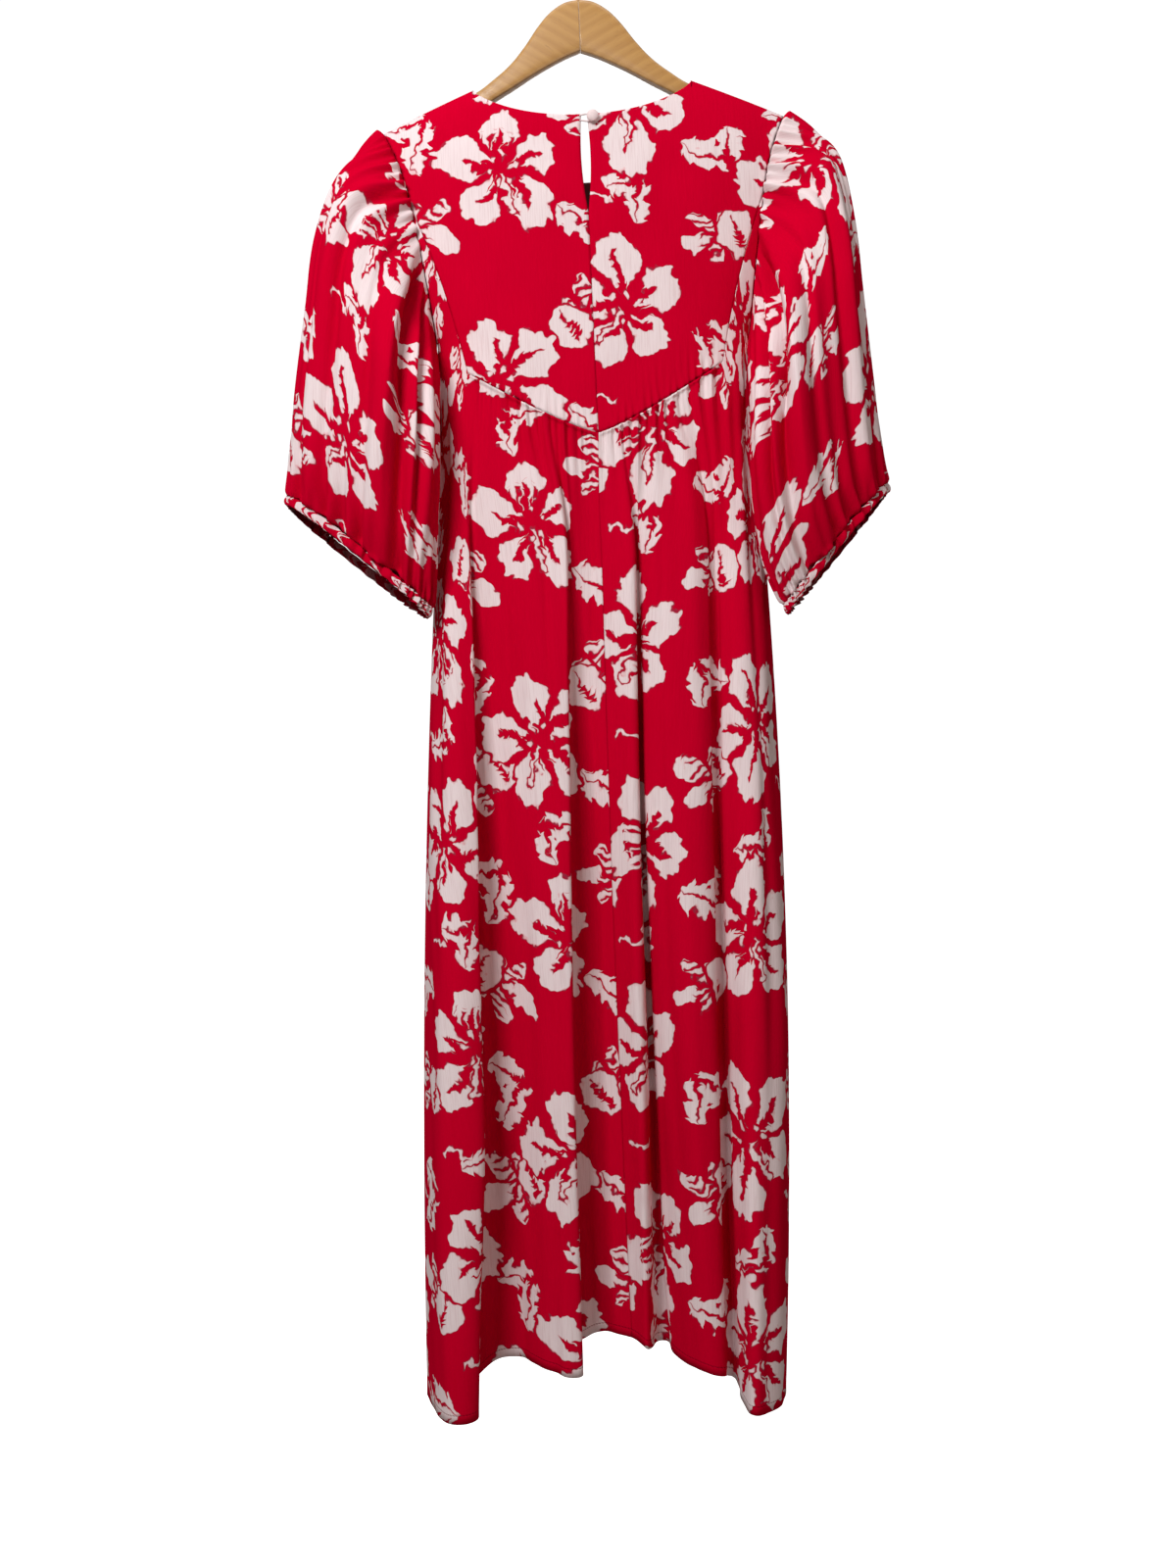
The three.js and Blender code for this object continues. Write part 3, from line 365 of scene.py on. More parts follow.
def thicken(made: bpy.types.Object, thickness: float) -> None:
    """Gives a sheet its thickness, inwards, with the second material on its reverse.

    Args:
        made: the sheet.
        thickness: its thickness in millimetres.
    """
    wall = made.modifiers.new("thickness", "SOLIDIFY")
    wall.thickness = thickness * MILLIMETRE
    wall.offset = -1.0
    wall.material_offset = 1
    wall.use_even_offset = False


def tube(name: str, path: Array, radius: Array, sides: int, up: Array) -> bpy.types.Object:
    """A round rod along a path, with closed, rounded ends.

    Each ring is centre + radius * (cos a * across + sin a * over), square to the path.

    Args:
        name: the object's name.
        path: points along its middle.
        radius: radius at each of them.
        sides: points round it.
        up: a direction that the path never follows.

    Returns:
        The object.
    """
    tangent = np.gradient(path, axis=0)
    tangent /= np.linalg.norm(tangent, axis=1, keepdims=True)
    across = np.cross(tangent, up)
    across /= np.linalg.norm(across, axis=1, keepdims=True)
    over = np.cross(across, tangent)
    angle = np.linspace(0.0, TURN, sides, endpoint=False)
    ring = np.cos(angle)[None, :, None] * across[:, None] + np.sin(angle)[None, :, None] * over[:, None]
    points = path[:, None] + ring * np.asarray(radius)[:, None, None]
    return closed_rings(name, points)


def closed_rings(name: str, points: Array) -> bpy.types.Object:
    """A closed solid from rings of points, with a point at the middle of each end.

    Args:
        name: the object's name.
        points: rings by points round each by 3.

    Returns:
        The object, with its faces turned outwards.
    """
    rings, sides = points.shape[:2]
    corner = np.arange(rings * sides).reshape(rings, sides)
    beside = np.roll(corner, -1, axis=1)
    quads = np.stack([corner[:-1], beside[:-1], beside[1:], corner[1:]], -1).reshape(-1, 4)
    first, last = rings * sides, rings * sides + 1
    caps = [(first, int(b), int(a)) for a, b in zip(corner[0], beside[0])]
    caps += [(last, int(a), int(b)) for a, b in zip(corner[-1], beside[-1])]
    ends = np.stack([points[0].mean(0), points[-1].mean(0)])
    everything = np.concatenate([points.reshape(-1, 3), ends])
    centre = points.mean(axis=(0, 1))
    a, b, c, d = (everything[quads[:, k]] for k in range(4))
    volume = (np.cross(b - a, c - a) * (a - centre)).sum() + (np.cross(c - a, d - a) * (a - centre)).sum()
    faces = [tuple(row) for row in quads.tolist()] + caps
    if volume < 0.0:
        faces = [face[::-1] for face in faces]
    return new_mesh(name, everything, faces)


def dress(made: bpy.types.Object, finishes: Sequence[bpy.types.Material], node: str) -> None:
    """Gives a piece its finishes, puts it on the part's one body and hides the CAD node that it stands for.

    Args:
        made: the piece.
        finishes: its materials.
        node: the CAD node's name.
    """
    for finish in finishes:
        made.data.materials.append(finish)
    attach(made, ROOT)
    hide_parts(node)


Number = Union["Sock", float, int]
Setting = Union[str, int, float, bool]


class Sock:
    """One output socket of a shader, on which maths is written as Python expressions."""

    def __init__(self, shader: "Shader", socket: bpy.types.NodeSocket) -> None:
        """Wraps a socket of a shader."""
        self.shader = shader
        self.socket = socket

    def math(self, operation: str, *others: Number) -> "Sock":
        """This value and others through one Math node."""
        return self.shader.math(operation, self, *others)

    def __add__(self, other: Number) -> "Sock":
        """self + other."""
        return self.math("ADD", other)

    def __radd__(self, other: Number) -> "Sock":
        """other + self."""
        return self.math("ADD", other)

    def __sub__(self, other: Number) -> "Sock":
        """self - other."""
        return self.math("SUBTRACT", other)

    def __rsub__(self, other: Number) -> "Sock":
        """other - self."""
        return self.shader.math("SUBTRACT", other, self)

    def __mul__(self, other: Number) -> "Sock":
        """self * other."""
        return self.math("MULTIPLY", other)

    def __rmul__(self, other: Number) -> "Sock":
        """other * self."""
        return self.math("MULTIPLY", other)

    def __truediv__(self, other: Number) -> "Sock":
        """self / other."""
        return self.math("DIVIDE", other)

    def __rtruediv__(self, other: Number) -> "Sock":
        """other / self."""
        return self.shader.math("DIVIDE", other, self)

    def __neg__(self) -> "Sock":
        """Minus self."""
        return self.math("MULTIPLY", -1.0)

    def __abs__(self) -> "Sock":
        """Size of self without its sign."""
        return self.math("ABSOLUTE")

    def least(self, other: Number) -> "Sock":
        """The lesser of two values."""
        return self.math("MINIMUM", other)

    def most(self, other: Number) -> "Sock":
        """The greater of two values."""
        return self.math("MAXIMUM", other)

    def sin(self) -> "Sock":
        """Sine of self."""
        return self.math("SINE")

    def cos(self) -> "Sock":
        """Cosine of self."""
        return self.math("COSINE")

    def floor(self) -> "Sock":
        """Whole number below self."""
        return self.math("FLOOR")

    def root(self) -> "Sock":
        """Square root of self."""
        return self.math("SQRT")

    def falling(self, reach: float) -> "Sock":
        """exp(-self / reach)."""
        return self.shader.math("EXPONENT", self * (-1.0 / reach))

    def within(self, count: float) -> "Sock":
        """Self wrapped to 0 .. count."""
        return self.math("WRAP", float(count), 0.0)

    def step(self, low: float, high: float) -> "Sock":
        """Soft step from 0 at low to 1 at high."""
        settings = {"interpolation_type": "SMOOTHSTEP"}
        return self.shader.node("ShaderNodeMapRange", settings, {0: self, 1: low, 2: high})


class Shader:
    """A material's node tree and the ways to add nodes to it."""

    def __init__(self, name: str) -> None:
        """Makes the material with its principled shader alone.

        Args:
            name: the material's name.
        """
        self.material = bpy.data.materials.new(name)
        self.material.use_nodes = True
        self.tree = self.material.node_tree
        self.surface = self.tree.nodes["Principled BSDF"]

    def node(
        self,
        kind: str,
        settings: dict[str, Setting],
        sockets: dict[Union[str, int], object],
        output: Union[str, int] = 0,
    ) -> Sock:
        """Adds a node.

        Args:
            kind: the node's type.
            settings: its properties, set first.
            sockets: a value or a link for each input named or numbered.
            output: which output is returned.

        Returns:
            That output.
        """
        made = self.tree.nodes.new(kind)
        for label, value in settings.items():
            setattr(made, label, value)
        for label, value in sockets.items():
            if isinstance(value, Sock):
                self.tree.links.new(value.socket, made.inputs[label])
            else:
                made.inputs[label].default_value = value
        return Sock(self, made.outputs[output])

    def math(self, operation: str, *values: Number) -> Sock:
        """One Math node on up to three values."""
        return self.node("ShaderNodeMath", {"operation": operation}, dict(enumerate(values)))

    def vector(self, x: Number, y: Number, z: Number = 0.0) -> Sock:
        """A vector from three values."""
        return self.node("ShaderNodeCombineXYZ", {}, {0: x, 1: y, 2: z})

    def parts(self, vector: Sock) -> tuple[Sock, Sock, Sock]:
        """The three values of a vector."""
        split = self.node("ShaderNodeSeparateXYZ", {}, {0: vector})
        return tuple(Sock(self, found) for found in split.socket.node.outputs)

    def mix(self, share: Number, start: object, end: object) -> Sock:
        """A colour between two, at share 0 to 1."""
        return self.node("ShaderNodeMix", {"data_type": "RGBA"}, {0: share, 6: start, 7: end}, 2)

    def noise(self, vector: Sock, scale: float, detail: float = 2.0, roughness: float = 0.5) -> Sock:
        """Soft noise from 0 to 1 at a vector."""
        sockets = {"Vector": vector, "Scale": scale, "Detail": detail, "Roughness": roughness}
        return self.node("ShaderNodeTexNoise", {"noise_dimensions": "2D"}, sockets)

    def noises(self, vector: Sock, scale: float, detail: float) -> tuple[Sock, Sock, Sock]:
        """Three soft noises from 0 to 1 at a vector."""
        sockets = {"Vector": vector, "Scale": scale, "Detail": detail}
        return self.parts(self.node("ShaderNodeTexNoise", {"noise_dimensions": "2D"}, sockets, "Color"))

    def drawn(self, x: Number, y: Number) -> tuple[Sock, Sock, Sock]:
        """Three random values from 0 to 1 for each pair of whole numbers.

        Args:
            x, y: the whole numbers.

        Returns:
            The values.
        """
        settings = {"noise_dimensions": "2D"}
        colour = self.node("ShaderNodeTexWhiteNoise", settings, {"Vector": self.vector(x, y)}, "Color")
        return self.parts(colour)

    def attribute(self, name: str) -> Sock:
        """A number stored at the mesh's points."""
        return self.node("ShaderNodeAttribute", {"attribute_name": name}, {}, "Fac")

    def feed(self, socket: str, value: object) -> None:
        """Links or sets one input of the principled shader.

        Args:
            socket: the input's name.
            value: a socket to link, or a value to set.
        """
        if isinstance(value, Sock):
            self.tree.links.new(value.socket, self.surface.inputs[socket])
        else:
            self.surface.inputs[socket].default_value = value


Colour = tuple[float, float, float, float]
Drawn = tuple[Sock, Sock, Sock]
Pair = tuple[float, float]


def srgb(red: int, green: int, blue: int) -> Colour:
    """A colour for the shader from screen values.

    Args:
        red, green, blue: screen values, 0 to 255.

    Returns:
        The colour, with alpha 1.
    """
    linear = [
        (value / 255.0 / 12.92 if value <= 10 else ((value / 255.0 + 0.055) / 1.055) ** 2.4)
        for value in (red, green, blue)
    ]
    return (*linear, 1.0)


def spun(x: Sock, y: Sock, turn: Sock) -> tuple[Sock, Sock]:
    """A place seen from axes turned by an angle: along them and across them."""
    cos, sin = turn.cos(), turn.sin()
    return x * cos + y * sin, y * cos - x * sin


@dataclass(frozen=True)
class HibiscusPrint:
    """Light viscose with white hibiscus flowers, buds and leaves screen-printed on red.

    A motif is a field of distances in millimetres, above 0 where the cloth stays white. Each kind of
    motif has its own half-drop lattice, whose cells repeat like a printed cloth's.
    """

    ground: Colour = srgb(206, 0, 44)
    ground_shade: Colour = srgb(186, 0, 32)
    white: Colour = srgb(238, 222, 224)
    thread: Colour = srgb(216, 190, 192)
    outline: Colour = srgb(142, 52, 74)
    rim: Colour = srgb(232, 186, 190)
    # Dark red towards which the colour is painted darker as shade beside seams, and along the hem's stitch
    # line.
    crease: Colour = srgb(120, 2, 26)
    # The reverse's red, darker than the face's as painted shade; back_cover is how much of it lies over the
    # face's colour, so that the print shows faintly.
    reverse_red_and_shade: Colour = srgb(120, 8, 24)
    back_cover: float = 0.9
    repeat_across: int = 4
    repeat_down: int = 2
    open_cell: Pair = (136.0, 158.0)
    small_cell: Pair = (68.0, 79.0)
    stray: Pair = (16.0, 18.0)
    open_radius: float = 54.0
    side_size: float = 40.0
    leaf_length: float = 38.0
    raggedness: float = 14.0
    scale: float = 1.2
    hem_depth: float = 8.0
    stitch: float = 3.2

    def ragged(self, shader: Shader, u: Sock, v: Sock) -> tuple[Sock, Sock]:
        """Flat coordinates shaken by noise, so that printed edges are ragged."""
        x, y, _ = shader.noises(shader.vector(u, v), 0.07, 2.0)
        return u + (x - 0.5) * self.raggedness, v + (y - 0.5) * self.raggedness

    def lattice(
        self, shader: Shader, u: Sock, v: Sock, cell: Pair, offset: Pair, seed: float
    ) -> tuple[Sock, Sock, Drawn]:
        """Place in the cell of a half-drop lattice.

        Args:
            shader: the material.
            u, v: place on the flat cloth.
            cell: width and height of a cell.
            offset: shift of the lattice.
            seed: number that sets this lattice's draws apart.

        Returns:
            x and y from the cell's middle, and three random values for the cell.
        """
        across = (u + offset[0]) / cell[0]
        column = across.floor()
        drop = column.within(2) * 0.5
        down = (v + offset[1]) / cell[1] + drop
        row = down.floor()
        x = (across - column - 0.5) * cell[0]
        y = (down - row - 0.5) * cell[1]
        repeat_x = column.within(self.repeat_across) + seed
        repeat_y = row.within(self.repeat_down) + seed * 3.0
        return x, y, shader.drawn(repeat_x, repeat_y)

    def petals(
        self, shader: Shader, x: Sock, y: Sock, drawn: Drawn, radius: float
    ) -> tuple[Sock, Sock, Sock, Sock]:
        """Five petals round a spiky red heart.

        A petal is an ellipse whose middle lies at 0.57 of its reach, in distance from the flower's middle
        and arc from its own centre line. Its scalloped edge adds a sine along that arc. Red channels part
        the petals. One curved vein with saw-tooth sides runs up each, or in some a comb of straight lines.

        Args:
            shader: the material.
            x, y: place from the flower's middle.
            drawn: random values of the cell.
            radius: usual reach of a petal.

        Returns:
            The distance field of the white, that of the petals' outline, and the distance and angle from
            the flower's middle.
        """
        away = (x * x + y * y + 0.5).root()
        angle = shader.math("ARCTAN2", y, x) + drawn[0] * TURN
        sector = angle * (5.0 / TURN) + (away * 0.05 + drawn[1] * 9.0).sin() * 0.07
        petal = sector.floor()
        across = sector - petal - 0.5
        length, width, bend = shader.drawn(petal.within(5), drawn[1] * 91.0)
        arc = away * (TURN / 5.0)
        side = across * arc
        reach = (length * 0.34 + 0.74) * radius
        half_width = (width * 0.16 + 0.30) * radius
        long_part = (away - reach * 0.57) / (reach * 0.45)
        wide_part = side / half_width
        egg = (1.0 - (long_part * long_part + wide_part * wide_part + 0.001).root()) * half_width
        edge = egg + (side * 0.62 + bend * 6.0).sin() * away * (1.5 / radius)
        channel = (0.5 - abs(across)) * arc - (width * 2.0 + 2.3)
        swing = (away * (5.2 / radius) + bend * 6.0).sin() * 3.4
        curve = side - (bend - 0.5) * away * 0.28 + swing
        saw = (away * 0.17 + bend * 3.0).within(1)
        stop = (width * 0.24 + 0.60) * reach
        thick = ((1.0 - away / stop) * 3.6 + 1.5) * (saw * 0.7 + 0.8)
        vein = abs(curve) - thick.least((stop - away) * 0.6)
        comb = abs((side * 0.135 + bend * 3.0).within(1) - 0.5) * 7.4 - 1.3
        comb = comb.most((away - stop) * 0.5 + saw * 3.0).most((0.88 - bend) * SWITCH)
        spikes = (angle * 11.0 + (angle * 3.0).sin() * 1.6 + drawn[2] * 6.0).cos().most(0.0)
        heart = away - (spikes * spikes * 0.26 + 0.13) * radius
        return edge.least(channel).least(vein).least(comb).least(heart), edge, away, angle

    def stamen(self, x: Sock, y: Sock, drawn: Drawn, radius: float) -> tuple[Sock, Sock]:
        """A white column with bumps towards its end.

        Args:
            x, y: place from the flower's middle.
            drawn: random values of the cell.
            radius: reach of a petal.

        Returns:
            The distance field of the column, and that of the cloth outside its red margin.
        """
        along, across = spun(x, y, drawn[2] * 1.4 + 4.0)
        width = (along * 0.62).sin().most(0.0) * 1.5 + 1.3
        end = (along - 4.0).least(0.66 * radius - along)
        white = (width - abs(across)).least(end)
        clear = (abs(across) - width - 1.7).most(end * -1.0 - 1.4)
        return white, clear

    def flower(self, shader: Shader, x: Sock, y: Sock, drawn: Drawn, radius: float) -> tuple[Sock, Sock]:
        """An open flower seen from the front: petals, a ring of short strokes, and a stamen.

        Args:
            shader: the material.
            x, y: place from the flower's middle.
            drawn: random values of the cell.
            radius: reach of a petal.

        Returns:
            The distance field of the white, and that of the petals' outline.
        """
        white, edge, away, angle = self.petals(shader, x, y, drawn, radius)
        stroke = (angle * 6.0 + drawn[1] * 5.0).cos() * 2.0 - abs(away - 0.19 * radius) * 0.55 - 0.5
        column, clear = self.stamen(x, y, drawn, radius)
        return white.least(clear).most(column).most(stroke), edge

    def side_view(self, shader: Shader, x: Sock, y: Sock, drawn: Drawn, size: float) -> tuple[Sock, Sock]:
        """A flower seen from the side.

        Six lobes, shorter towards the back, fan out behind one round petal. A comb of red lines cuts the
        fan, and a red stamen with saw-tooth sides stands in the round petal.

        Args:
            shader: the material.
            x, y: place from the flower's middle.
            drawn: random values of the cell.
            size: reach of its longest lobe.

        Returns:
            The distance field of the white, and that of the outline.
        """
        x, y = spun(x, y, drawn[0] * 1.6 - 0.8)
        x = x * (1.0 - (drawn[1] - 0.5).step(-0.01, 0.01) * 2.0)
        away = (x * x + y * y + 0.5).root()
        angle = shader.math("ARCTAN2", y, x)
        sector = angle * (6.0 / TURN) + 0.5
        lobe = sector.floor()
        across = sector - lobe - 0.5
        length, width, _ = shader.drawn(lobe.within(6) + 11.0, drawn[1] * 91.0)
        reach = (length * 0.5 + 0.62) * (1.0 - abs(angle) * 0.18) * size
        edge = reach * (1.0 - across * across * 2.6) - away
        channel = (0.5 - abs(across)) * away * (TURN / 6.0) - (width * 1.7 + 1.0)
        comb = abs((y * 0.155 + (x * 0.11).sin() * 0.12).within(1) - 0.5) * 6.4 - 1.2
        comb = comb.most(abs(x - size * 0.10) - size * 0.26 + (y * 0.7).sin() * 2.5)
        disc_x, disc_y = x + size * 0.40, y + size * 0.04
        wide_part, tall_part = disc_x / (size * 0.39), disc_y / (size * 0.45)
        disc = (1.0 - (wide_part * wide_part + tall_part * tall_part + 0.001).root()) * (0.40 * size)
        taper = 1.0 - (disc_y / (0.36 * size)).most(-0.4) * 0.8
        tree = abs(disc_x + (disc_y * 0.2).sin() * 0.8) - ((disc_y * 0.20).within(1) * 3.0 + 0.7) * taper
        tree = tree.most(abs(disc_y) - 0.34 * size)
        fan = edge.least(channel).least(comb).least(disc * -1.0 - 1.8)
        return fan.most(disc.least(tree)), edge.most(disc)

    def leaf(self, x: Sock, y: Sock, drawn: Drawn, length: float) -> Sock:
        """Two leaves that part from one point, with pointed teeth and a crooked, barbed midrib.

        A leaf's half-width is 0.74 * length * sqrt(share * (1 - share)), less its saw-teeth.

        Args:
            x, y: place from the pair's middle.
            drawn: random values of the cell.
            length: length of a leaf.

        Returns:
            The distance field of the white.
        """
        x, y = spun(x, y, drawn[0] * TURN)
        below = (y + 1.5).step(-0.2, 0.2)
        along, across = spun(x + 0.55 * length, abs(y + 1.5), drawn[1] * 0.25 + 0.42)
        size = (drawn[2] * 0.2 + below * 0.22 + 0.86) * length
        share = along / size
        bent = across + (share * 5.0).sin() * 1.5
        upper = bent.step(-0.1, 0.1)
        tooth = (along * 0.08 + drawn[2] * 3.0 + upper * 0.45).within(1)
        bulge = (share * (1.0 - share)).most(0.0).root()
        half = bulge * (0.74 * length - tooth * 12.0)
        saw = (along * 0.09 + upper * 0.5).within(1)
        midrib = abs(bent + (along * 0.5).sin() * 0.8) - (1.0 - share) * (saw * 4.2 + 1.2)
        return (half - abs(bent)).least(midrib).least(along.least(size - along))

    def dash(self, x: Sock, y: Sock, drawn: Drawn) -> Sock:
        """A short curled stroke: a wavering width less the distance from a bent line 21 mm long.

        Args:
            x, y: place from the stroke's middle.
            drawn: random values of the cell.

        Returns:
            The distance field of the white.
        """
        along, across = spun(x, y, drawn[0] * 0.9 - 0.45)
        bent = across + (along * 0.26).sin() * 2.2
        width = (along * 0.9 + drawn[1] * 6.0).sin() * 0.5 + 1.5
        return (width - abs(bent)).least(10.5 - abs(along)).least((drawn[1] - 0.7) * SWITCH)

    def white_field(self, shader: Shader, u: Sock, v: Sock) -> Sock:
        """The whole print's field: open flowers in front, then side views, leaves and dashes behind them.

        Args:
            shader: the material.
            u, v: place on the flat cloth in millimetres.

        Returns:
            The distance field of the white.
        """
        u, v = self.ragged(shader, u / self.scale, v / self.scale)
        wide, tall = self.open_cell
        stray_x, stray_y = self.stray
        x, y, drawn = self.lattice(shader, u, v, self.open_cell, (0.0, 0.0), 1.0)
        x, y = x - (drawn[1] - 0.5) * stray_x, y - (drawn[2] - 0.5) * stray_y
        front, front_edge = self.flower(shader, x, y * 0.94, drawn, self.open_radius)
        x, y, drawn = self.lattice(shader, u, v, self.open_cell, (0.5 * wide, 0.25 * tall), 2.0)
        x = x - (drawn[1] - 0.5) * stray_x
        behind, behind_edge = self.side_view(shader, x, y - 6.0, drawn, self.side_size)
        found = front.most(behind.least(front_edge * -1.0 - 3.0))
        bare = front_edge.most(behind_edge) * -1.0 - 3.5
        x, y, drawn = self.lattice(shader, u, v, self.open_cell, (0.5 * wide, -0.25 * tall), 3.0)
        leaves = self.leaf(x, y, drawn, self.leaf_length)
        x, y, drawn = self.lattice(shader, u, v, self.open_cell, (0.0, 0.5 * tall), 5.0)
        smaller = self.leaf(x, y, drawn, 0.85 * self.leaf_length)
        leaves = leaves.most(smaller.least((drawn[1] - 0.2) * SWITCH))
        x, y, drawn = self.lattice(shader, u, v, self.small_cell, (58.0, 80.0), 4.0)
        return found.most(leaves.most(self.dash(x, y, drawn)).least(bare)) * self.scale

    def material(self, name: str, reverse: bool) -> bpy.types.Material:
        """The cloth's right side, or its reverse, whose red is painted darker as shade and where the print
        shows through faintly.

        Args:
            name: the material's name.
            reverse: whether this is the inner face.

        Returns:
            The material.
        """
        shader = Shader(name)
        x, y, _ = shader.parts(shader.node("ShaderNodeUVMap", {"uv_map": "Cloth"}, {}))
        u, v = x * MAP_UNIT, y * MAP_UNIT
        white = self.white_field(shader, u, v)
        mask = white.step(-0.15, 0.35)
        line = white.step(-1.0, -0.3) * (1.0 - mask)
        streak = shader.noise(shader.vector(u * 0.9, v * 0.03), 1.0, 3.0)
        patch = shader.noise(shader.vector(u, v), 0.012, 2.0)
        ground = shader.mix(streak * 0.5 + patch * 0.3 - 0.1, self.ground, self.ground_shade)
        pale = shader.mix(white.step(0.1, 1.5), self.rim, self.white)
        pale = shader.mix(streak.step(0.44, 0.74) * 0.45, pale, self.thread)
        colour = shader.mix(line * 0.75, ground, self.outline)
        colour = shader.mix(mask, colour, pale)
        # Painted shade beside seams: the colour darkens towards the dark red by exp(-distance / 0.8).
        seam = shader.attribute("seam").falling(0.8)
        colour = shader.mix(seam * 0.12, colour, self.crease)
        hem = shader.attribute("hem")
        stitches = 1.0 - abs(hem - self.hem_depth).step(0.25, 0.9)
        dashes = ((u + v) * (TURN / self.stitch)).sin().step(-0.5, 0.1)
        # The hem's stitch line: darker dashes for the stitches, over a steady darkening along the line that
        # is painted shade in its groove.
        colour = shader.mix(stitches * (dashes * 0.4 + 0.25), colour, self.crease)
        # The reverse: mostly the darker red, which is partly painted shade, with a tenth of the face's colour
        # left.
        if reverse:
            colour = shader.mix(self.back_cover, colour, self.reverse_red_and_shade)
        shader.feed("Base Color", colour)
        shader.feed("Roughness", 0.64 if reverse else 0.52)
        shader.feed("Specular IOR Level", 0.0)
        crinkle = shader.noise(shader.vector(u * 0.5, v * 0.05), 1.0, 3.0, 0.6)
        slub = shader.noise(shader.vector(u * 1.6, v * 0.02), 1.0, 1.0)
        weave = (u * 7.0).sin() * (v * 7.0).sin()
        height = crinkle * 0.36 + slub * 0.10 + weave * 0.02 - stitches * 0.25 - seam * 0.1
        bump = shader.node("ShaderNodeBump", {}, {"Strength": 0.6, "Distance": 0.001, "Height": height})
        shader.feed("Normal", bump)
        return shader.material


@dataclass(frozen=True)
class PaleCloth:
    """White cloth over the button and the loop, with a fine weave."""

    colour: Colour = srgb(240, 222, 222)
    shade: Colour = srgb(214, 190, 192)

    def material(self) -> bpy.types.Material:
        """Pale woven cloth: a fine crossing of threads over soft patches.

        Returns:
            The material.
        """
        shader = Shader("pale cloth")
        at = shader.node("ShaderNodeTexCoord", {}, {}, "Object")
        x, _, z = shader.parts(at)
        weave = (x * 9000.0).sin() * (z * 9000.0).sin()
        sockets = {"Vector": at, "Scale": 420.0, "Detail": 3.0}
        patch = shader.node("ShaderNodeTexNoise", {}, sockets)
        shader.feed("Base Color", shader.mix(patch * 0.6 + weave * 0.1, self.colour, self.shade))
        shader.feed("Roughness", 0.72)
        shader.feed("Sheen Weight", 0.2)
        height = weave * 0.05 + patch * 0.4
        bump = shader.node("ShaderNodeBump", {}, {"Strength": 0.5, "Distance": 0.0006, "Height": height})
        shader.feed("Normal", bump)
        return shader.material


@dataclass(frozen=True)
class VarnishedWood:
    """Pale varnished beech whose grain runs along each arm."""

    light: Colour = srgb(198, 152, 86)
    dark: Colour = srgb(164, 114, 54)
    pore: Colour = srgb(122, 78, 36)

    def material(self, side: Side) -> bpy.types.Material:
        """Varnished wood with grain along an arm.

        Args:
            side: which arm, as the grain slopes down along it.

        Returns:
            The material.
        """
        shader = Shader("varnished wood " + side.word)
        at = shader.node("ShaderNodeTexCoord", {}, {}, "Object")
        turned_at = shader.node("ShaderNodeMapping", {}, {0: at, "Rotation": (0.0, side.value * 0.52, 0.0)})
        x, y, z = shader.parts(turned_at)
        grain_at = shader.vector(x * 14.0, y * 260.0, z * 260.0)
        grain = shader.node("ShaderNodeTexNoise", {}, {"Vector": grain_at, "Scale": 1.0, "Detail": 5.0})
        bands = ((z * 620.0) + grain * 5.0).sin() * 0.5 + 0.5
        pores_at = shader.vector(x * 90.0, y * 1500.0, z * 1500.0)
        pores = shader.node("ShaderNodeTexNoise", {}, {"Vector": pores_at, "Scale": 1.0, "Detail": 2.0})
        pores = pores.step(0.62, 0.74)
        wood = shader.mix(grain * 0.5 + bands * 0.3, self.light, self.dark)
        shader.feed("Base Color", shader.mix(pores * 0.35, wood, self.pore))
        shader.feed("Roughness", 0.36 + grain * 0.12)
        shader.feed("Coat Weight", 0.35)
        shader.feed("Coat Roughness", 0.18)
        height = grain * 0.3 - pores * 0.3
        bump = shader.node("ShaderNodeBump", {}, {"Strength": 0.2, "Distance": 0.0004, "Height": height})
        shader.feed("Normal", bump)
        return shader.material


@dataclass(frozen=True)
class BrightSteel:
    """Bright nickelled wire with faint drawing marks."""

    colour: Colour = srgb(206, 208, 210)

    def material(self) -> bpy.types.Material:
        """Metal whose roughness varies a little.

        Returns:
            The material.
        """
        shader = Shader("bright steel")
        at = shader.node("ShaderNodeTexCoord", {}, {}, "Object")
        marks = shader.node("ShaderNodeTexNoise", {}, {"Vector": at, "Scale": 900.0, "Detail": 3.0})
        shader.feed("Base Color", self.colour)
        shader.feed("Metallic", 1.0)
        shader.feed("Roughness", 0.16 + marks * 0.14)
        return shader.material


